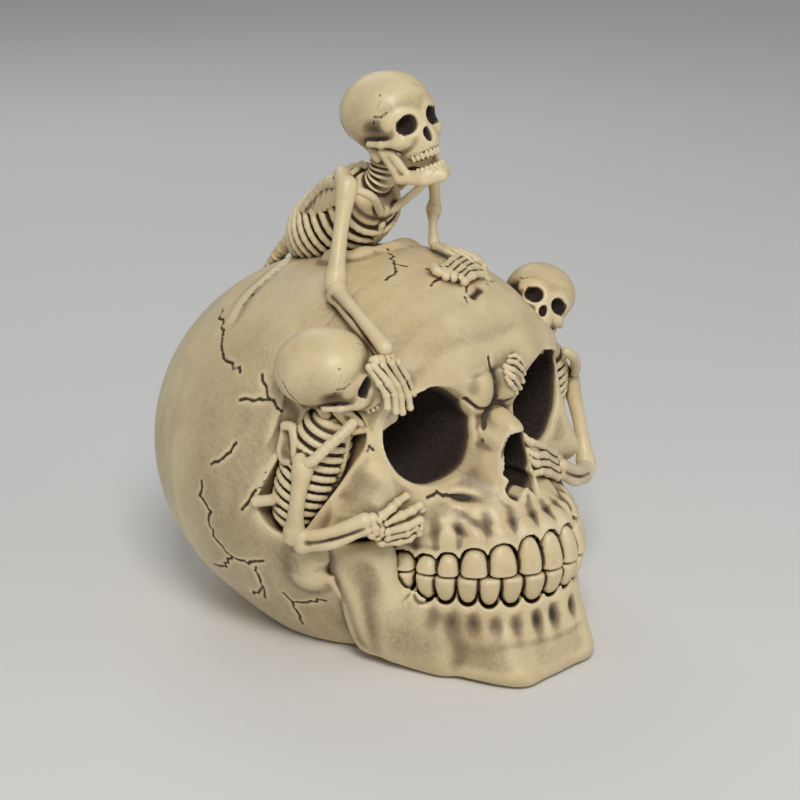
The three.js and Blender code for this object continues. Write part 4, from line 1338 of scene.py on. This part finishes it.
hands = {
    "right_hand": {"wrist": (-54, -54, 60.5), "thick": 1.6, "fingers": [
        [(-50, -55.5, 63), (-46, -56, 65), (-43, -55.5, 66), (-39, -55.5, 67)],
        [
            (-49.5, -56, 60.5), (-42.5, -57, 61.5), (-38.5, -58, 62.5),
            (-35.5, -58.5, 63.5), (-34.5, -58.5, 62),
        ],
        [(-49.5, -57, 58), (-42.5, -59, 58), (-37, -60, 59), (-37, -60, 56.5)],
        [(-49, -57, 56), (-42.5, -59, 56), (-39, -59.5, 57), (-37, -59.5, 54.5)],
        [(-50, -55.5, 54), (-45, -58, 53.5), (-41, -59, 53.5), (-37.5, -58.5, 54.5)],
    ]},
    "top_right_hand": {"wrist": (-45.5, -50.5, 115.5), "thick": 1.35, "fingers": [
        [(-50, -50, 113), (-48.5, -53, 108), (-47, -54.5, 104), (-47, -55, 100)],
        [(-49, -51, 113.5), (-46.5, -55, 108), (-44.5, -55.5, 104), (-44, -56, 98)],
        [(-46.5, -52, 113.5), (-42, -54, 106), (-40.5, -54.5, 102), (-40, -55, 96.5)],
        [(-43, -52.5, 113.5), (-38.5, -53, 106), (-36.5, -54, 101), (-36, -54.5, 97)],
        [(-40, -52.5, 113), (-36.5, -53, 107.5), (-34.5, -53, 103.5), (-33.5, -53.5, 101)],
    ]},
    "top_left_hand": {"wrist": (15, -17, 134.5), "thick": 1.1, "size": 0.8, "fingers": [
        [(13, -20, 135), (12, -26, 134.5), (14, -30, 132.5)],
        [(15, -20, 135), (16, -27, 134), (18, -32, 132), (19, -34, 130)],
        [(17, -20, 134.5), (19, -26.5, 133.5), (22, -31, 131.5), (23, -33, 129.5)],
        [(18.5, -19, 134), (22, -25, 132.5), (25.5, -29, 130.5), (27, -31, 128.5)],
    ]},
    "left_nose_hand": {"wrist": (31, -62.5, 60), "thick": 1.6, "fingers": [
        [(26.5, -62.5, 66.5), (19, -64, 71.5), (12, -65, 75), (10, -63.5, 77)],
        [(26, -63.5, 63.5), (18.5, -65.5, 68.5), (12.5, -67, 70.5), (10.5, -65, 72)],
        [(26, -64.5, 61), (19, -66, 65.5), (12, -68, 68), (10, -66.5, 69.5)],
        [(26, -65, 58.5), (19, -67, 62.5), (13, -68.5, 65), (10, -68, 64.5)],
    ]},
    "left_brow_hand": {"wrist": (14, -54, 107.5), "thick": 1.0, "fingers": [
        [(6.5, -59.5, 104), (8.5, -60.5, 103.5), (11, -61, 101), (14, -59.5, 98)],
        [(4, -60, 103), (5.5, -62, 102), (11, -60.5, 98.5), (13, -60, 95.5)],
        [(3.5, -61, 101.5), (4.5, -63, 100), (8, -62, 96.5), (10.5, -61, 94)],
        [(3.5, -61.5, 99.5), (4, -62.5, 97.5), (6.5, -62, 95), (8, -61.5, 93)],
        [(8, -58.5, 105), (9.5, -59.5, 105.5), (10.5, -60.5, 104.5), (13, -60.5, 101.5)],
    ]},
    "forehead_hand": {"wrist": (-1, -30, 129.5), "thick": 1.5, "shift": (0.5, -1.2, 1.8), "fingers": [
        [(4, -30, 130), (9, -28.5, 131), (15.5, -25.5, 131)],
        [(3, -32.5, 129), (9, -30.5, 130), (17, -27, 129.5), (25, -24, 128.5), (28, -24, 126.5)],
        [(4, -34, 128), (9.5, -32.5, 129), (18, -28.5, 128.5), (24.5, -26.5, 127), (25.5, -28, 125.5)],
        [(5.5, -35.5, 127), (11.5, -33.5, 128), (17.5, -31.5, 127.5), (20.5, -32, 126), (19.5, -34, 125)],
        [(6, -37, 126), (10.5, -36.5, 127), (16, -35, 126), (19, -35.5, 124)],
    ]},
}


# palmPlaces run from the wrist to the knuckles, and a key with Share is a share of the hand's thickness
handForm = {
    "room": 5,
    "palmPlaces": (0.25, 0.62),
    "palmSpread": 0.6,
    "palmShare": 1.25,
    "palmBlend": 0.25,
    "shaftShare": 0.88,
    "jointShare": 0.22,
    "taper": (1.08, 0.84),
    "fingerBlend": 0.12,
    "pointsPerBone": 6,
    "knuckleHalf": (0, 0, 1.2),
    "knuckleLine": {"width": 0.35, "height": -0.25, "stain": 0.6},
}


def sculptHand(name, form):
    shift = np.array(form.get("shift", (0, 0, 0)), float)
    wrist, thick, size = np.array(form["wrist"], float) + shift, form["thick"], form.get("size", 1)
    fingers = [wrist + (np.array(run, float) + shift - wrist) * size for run in form["fingers"]]
    clay = boxAround(np.vstack(fingers + [wrist[None]]), handForm["room"], bones["handStep"] * detail)
    bases = np.array([run[0] for run in fingers])
    for base in bases:
        spread = base - bases.mean(0)
        for share in handForm["palmPlaces"]:
            place = wrist + spread * handForm["palmSpread"] + (bases.mean(0) - wrist) * share
            clay.add(egg(place, (thick * handForm["palmShare"],) * 3), handForm["palmBlend"])
    for run in fingers:
        path = curve(run, (len(run) - 1) * handForm["pointsPerBone"] + 1)
        along = np.linspace(0, len(run) - 1, len(path)) % 1
        joint = np.abs(along - 0.5) * 2
        shape = handForm["shaftShare"] + handForm["jointShare"] * joint ** 3
        radii = shape * np.linspace(*handForm["taper"], len(path)) * thick
        clay.addRun(path, radii, handForm["fingerBlend"])
        half = handForm["knuckleHalf"]
        for knuckle in run[1:-1]:
            clay.stroke([knuckle + half, knuckle - half], **handForm["knuckleLine"])
    return finished(meshOf(name + "_sculpt", clay), [name])


finished(sculptSkull(), ["skull_casting"])
print("skull sculpted")
finished(sculptJaw(), ["jaw"])
print("jaw sculpted")
sculptHead("top", [littleSkull], "top_head_sculpt", ["top_head"])
sculptHead("top", [littleJaw], "top_jaw_sculpt", ["top_jaw"])
sculptHead("right", [littleSkull, littleJaw], "right_head_sculpt", ["right_head"])
sculptHead("left", [littleSkull, littleJaw], "left_head_sculpt", ["left_head"])
sculptTopTorso()
sculptSideTorso(1, "right_torso_sculpt", "right_torso")
sculptSideTorso(-1, "left_torso_sculpt", "left_torso")
print("heads and torsos sculpted")
for name, points in arms.items():
    sculptArm(name, points, bones["thin"].get(name, bones["upperArm"]))
for name, points in forearms.items():
    sculptForearm(name, points, bones["thin"].get(name, bones["forearm"]))
for name, form in hands.items():
    sculptHand(name, form)
print("arms and hands sculpted")


# A channel is a node's output that Python's own signs for sums work on, from either side
class Channel:
    def __init__(self, look, socket):
        self.look, self.socket = look, socket

    def maths(self, operation, other, swapped=False):
        ends = [self, other] if not swapped else [other, self]
        return self.look.node("ShaderNodeMath", {"operation": operation}, {0: ends[0], 1: ends[1]})

    def __add__(self, other):
        return self.maths("ADD", other)

    def __sub__(self, other):
        return self.maths("SUBTRACT", other)

    def __rsub__(self, other):
        return self.maths("SUBTRACT", other, True)

    def __mul__(self, other):
        return self.maths("MULTIPLY", other)

    __radd__ = __add__
    __rmul__ = __mul__


class Look:
    def __init__(self, name):
        self.material = bpy.data.materials.new(name)
        self.material.use_nodes = True
        self.tree = self.material.node_tree
        self.tree.nodes.clear()
        self.shader = self.tree.nodes.new("ShaderNodeBsdfPrincipled")
        output = self.tree.nodes.new("ShaderNodeOutputMaterial")
        self.tree.links.new(self.shader.outputs[0], output.inputs["Surface"])

    def join(self, socket, value):
        if isinstance(value, Channel):
            self.tree.links.new(value.socket, socket)
        else:
            socket.default_value = value

    def node(self, kind, settings, inputs, outlet=0):
        made = self.tree.nodes.new(kind)
        for key, value in settings.items():
            setattr(made, key, value)
        for key, value in inputs.items():
            self.join(made.inputs[key], value)
        return Channel(self, made.outputs[outlet])

    def attribute(self, name):
        return self.node("ShaderNodeAttribute", {"attribute_name": name}, {}, "Fac")

    def places(self):
        return self.node("ShaderNodeTexCoord", {}, {}, "Object")

    def noise(self, scale, detail, roughness=0.55):
        values = {"Vector": self.places(), "Scale": scale, "Detail": detail, "Roughness": roughness}
        return self.node("ShaderNodeTexNoise", {}, values)

    def stepped(self, value, low, high):
        values = {"Value": value, "From Min": low, "From Max": high}
        return self.node("ShaderNodeMapRange", {"interpolation_type": "SMOOTHSTEP"}, values)

    def mixed(self, share, first, second):
        made = self.tree.nodes.new("ShaderNodeMix")
        made.data_type = "RGBA"
        self.join(made.inputs[0], share)
        self.join(made.inputs[6], first)
        self.join(made.inputs[7], second)
        return Channel(self, made.outputs[2])

    def set(self, **values):
        for key, value in values.items():
            self.join(self.shader.inputs[key.replace("_", " ")], value)

    def bump(self, height, strength, distance, under=None):
        inputs = {"Height": height, "Strength": strength, "Distance": distance}
        if under:
            inputs["Normal"] = under
        return self.node("ShaderNodeBump", {}, inputs)


# The resin's colours and roughness, then how much each cause adds to the dark wash and painted shade: hollow,
# near and room paint shade into recesses and the places between and under pieces, on top of the real wash,
# stains and blotches
boneFinish = {
    "pale": (0.79, 0.655, 0.395, 1),
    "bone": (0.62, 0.485, 0.275, 1),
    "worn": (0.80, 0.69, 0.475, 1),
    "brown": (0.205, 0.135, 0.072, 1),
    "deepWashAndShade": (0.036, 0.023, 0.013, 1),
    "rust": (0.085, 0.046, 0.022, 1),
    "socket": (0.042, 0.032, 0.027, 1),
    "roughness": 0.40,
    "skeletonWashAndShade": 0.75,
    "skeletonWashAndShadeHollow": 1.8,
    "hollow": 1.1,
    "near": 0.85,
    "room": 0.45,
    "stain": 0.75,
    "blotch": 0.36,
    "grain": 0.35,
}


# Scale, detail and roughness of each noise, and between which values each mask rises
boneNoise = {"cloud": (30, 6), "grain": (700, 8, 0.65), "fleck": (1500, 6, 0.7), "blotch": (110, 5, 0.6)}
boneMasks = {
    "mid": (0.0, 0.6), "deep": (0.5, 1.15), "raised": (0.12, 0.7), "clouds": (0.35, 0.65),
    "rim": (0.0, 0.45), "flecks": (0.46, 0.62), "depths": (0.3, 0.95),
}
boneShares = {"raised": 0.55, "mid": 0.85, "deep": 0.95, "rim": 0.9, "flecks": 0.6}


def boneLook():
    look = Look("bone_resin_wash_and_shade")
    hollow, near, room = look.attribute("hollow"), look.attribute("near"), look.attribute("room")
    socket, stain = look.attribute("socket"), look.attribute("stain")
    cloud, grain, fleck, blotch = (look.noise(*form) for form in boneNoise.values())
    masks, shares = boneMasks, boneShares
    share = boneFinish
    # The sum below adds the real wash, stains and blotches to painted shade from the hollow, near and room
    # measures, which darken recesses, creases and the places between and under pieces
    washAndShade = look.attribute("skeletonWashAndShade") * (share["skeletonWashAndShade"] + hollow * share["skeletonWashAndShadeHollow"]) + hollow * share["hollow"]
    washAndShade = washAndShade + near * share["near"] + room * share["room"] + stain * share["stain"]
    washAndShade = washAndShade + (blotch - 0.5) * share["blotch"] + (grain - 0.5) * share["grain"]
    mid = look.stepped(washAndShade, *masks["mid"])
    deep = look.stepped(washAndShade, *masks["deep"])
    raised = look.stepped(hollow * -1.0 - near * 0.5 + (grain - 0.5) * 0.4, *masks["raised"])
    clouds = look.stepped(cloud * 0.6 + blotch * 0.4, *masks["clouds"])
    color = look.mixed(clouds, boneFinish["bone"], boneFinish["pale"])
    color = look.mixed(raised * shares["raised"], color, boneFinish["worn"])
    # The brown and the darkest colour are partly the real wash in recesses and partly painted shade
    color = look.mixed(mid * shares["mid"], color, boneFinish["brown"])
    color = look.mixed(deep * shares["deep"], color, boneFinish["deepWashAndShade"])
    rim = look.stepped(socket + (blotch - 0.5) * 0.3, *masks["rim"])
    color = look.mixed(rim * shares["rim"], color, boneFinish["rust"])
    flecks = look.stepped(fleck * 0.5 + grain * 0.5, *masks["flecks"])
    depths = look.mixed(flecks * shares["flecks"], boneFinish["socket"], boneFinish["rust"])
    color = look.mixed(look.stepped(socket + (blotch - 0.5) * 0.4, *masks["depths"]), color, depths)
    roughness = boneFinish["roughness"] + deep * 0.25 + (grain - 0.5) * 0.2 - socket * 0.12
    look.set(Base_Color=color, Roughness=roughness)
    low = look.bump(grain * 0.6 + blotch * 0.4, 0.16, 0.0006)
    rough = look.bump(fleck * socket, 1.0, 0.0012, low)
    look.set(Normal=rough)
    return look.material


bone = boneLook()
for piece, clay in pieces:
    piece.data.materials.append(bone)


# How full the surroundings of each point are across all pieces, for the wash and the painted shade that
# gather between pieces and under them
roomShade = {"step": 1.0, "spare": 4, "blurs": {"near": 1, "room": 3}, "contrast": 3}


def shadeRooms():
    spare, step = roomShade["spare"], roomShade["step"]
    low, high = np.array(cadBounds[0]) / mm - spare, np.array(cadBounds[1]) / mm + spare
    axes = [np.arange(low[i], high[i], step, dtype=np.float32) for i in range(3)]
    room = np.zeros([len(one) for one in axes], np.float32)
    for piece, clay in pieces:
        ends = np.array([[one[0], one[-1]] for one in clay.axes])
        corners = np.array([[ends[0][i & 1], ends[1][i >> 1 & 1], ends[2][i >> 2]] for i in range(8)])
        corners = corners @ clay.basis.T + clay.origin
        ranges = np.stack([corners.min(0), corners.max(0)], 1)
        spans = [slice(*np.searchsorted(axes[i], ranges[i])) for i in range(3)]
        grid = np.stack(np.meshgrid(*[axes[i][spans[i]] for i in range(3)], indexing="ij"), -1)
        local = (grid - clay.origin) @ np.linalg.inv(clay.basis).T
        at, inside = [], True
        for i in range(3):
            at.append(np.clip(np.searchsorted(clay.axes[i], local[..., i]), 0, len(clay.axes[i]) - 1))
            inside = inside & (local[..., i] > ends[i][0]) & (local[..., i] < ends[i][1])
        filled = np.clip(0.5 - clay.field[at[0], at[1], at[2]] / step, 0, 1) * inside
        room[tuple(spans)] = np.maximum(room[tuple(spans)], filled)
    rooms = {key: boxBlur(boxBlur(room, radius), radius) for key, radius in roomShade["blurs"].items()}
    for piece, clay in pieces:
        co = np.zeros(len(piece.data.vertices) * 3, np.float32)
        piece.data.vertices.foreach_get("co", co)
        for key, block in rooms.items():
            share = sampled(block, (co.reshape(-1, 3) / mm - low) / step)
            values = np.clip((share - 0.5) * roomShade["contrast"], -1, 1).astype(np.float32)
            piece.data.attributes.new(key, "FLOAT", "POINT").data.foreach_set("value", values)


shadeRooms()
print("finishes made")

for piece, clay in pieces:
    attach(piece, "root")
    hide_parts(*json.loads(piece["stands"]))
    del piece["stands"]


# The parts that come straight from the CAD model keep their meshes
plainFinish = {
    "felt": {
        "nodes": ["base_felt_pad", "chin_felt_pad"],
        "light": (0.035, 0.036, 0.040, 1), "dark": (0.018, 0.018, 0.020, 1),
        "roughness": 0.95, "metallic": 0.0, "scale": 1800, "relief": 0.5,
    },
    "dark_resin": {
        "nodes": ["base_plug"],
        "light": (0.060, 0.050, 0.042, 1), "dark": (0.032, 0.026, 0.022, 1),
        "roughness": 0.55, "metallic": 0.0, "scale": 500, "relief": 0.2,
    },
    "steel_pin": {
        "nodes": ["top_neck_pin", "top_body_pin", "right_neck_pin", "left_neck_pin"],
        "light": (0.62, 0.61, 0.60, 1), "dark": (0.45, 0.44, 0.43, 1),
        "roughness": 0.35, "metallic": 1.0, "scale": 1200, "relief": 0.1,
    },
}


def finishKept(slot, form):
    look = Look(slot)
    grain = look.noise(form["scale"], 6, 0.7)
    patch = look.noise(60, 4)
    color = look.mixed(look.stepped(grain * 0.7 + patch * 0.3, 0.3, 0.7), form["dark"], form["light"])
    look.set(Base_Color=color, Roughness=form["roughness"] + (grain - 0.5) * 0.2, Metallic=form["metallic"])
    look.set(Normal=look.bump(grain, form["relief"], 0.0004))
    for name in form["nodes"]:
        node = bpy.data.objects[name]
        node.data.materials.clear()
        node.data.materials.append(look.material)


for slot, form in plainFinish.items():
    finishKept(slot, form)
print("kept parts finished")


# The floor, the lamps and the world
def setStudio():
    size = studio["floorSize"] * mm / 2
    corners = [(-size, -size, 0), (size, -size, 0), (size, size, 0), (-size, size, 0)]
    data = bpy.data.meshes.new("floor")
    data.from_pydata(corners, [], [(0, 1, 2, 3)])
    floor = bpy.data.objects.new("floor", data)
    bpy.context.scene.collection.objects.link(floor)
    look = Look("pale_paper")
    look.set(Base_Color=look.mixed(look.noise(3, 2), studio["floorDull"], studio["floorPale"]), Roughness=0.9)
    data.materials.append(look.material)
    world = bpy.data.worlds.new("studio")
    world.use_nodes = True
    world.node_tree.nodes["Background"].inputs[0].default_value = studio["worldColor"]
    world.node_tree.nodes["Background"].inputs[1].default_value = studio["worldStrength"]
    bpy.context.scene.world = world
    for name, form in studio["lamps"].items():
        lamp = bpy.data.lights.new(name, "AREA")
        lamp.size = form["size"]
        lamp.energy = form["power"]
        lamp.color = form["color"]
        item = bpy.data.objects.new(name, lamp)
        item.location = form["place"]
        way = Vector(form["place"]) - Vector(studio["lampAim"])
        item.rotation_euler = way.to_track_quat("Z", "Y").to_euler()
        bpy.context.scene.collection.objects.link(item)
    bpy.context.scene.view_settings.view_transform = "Standard"


setStudio()
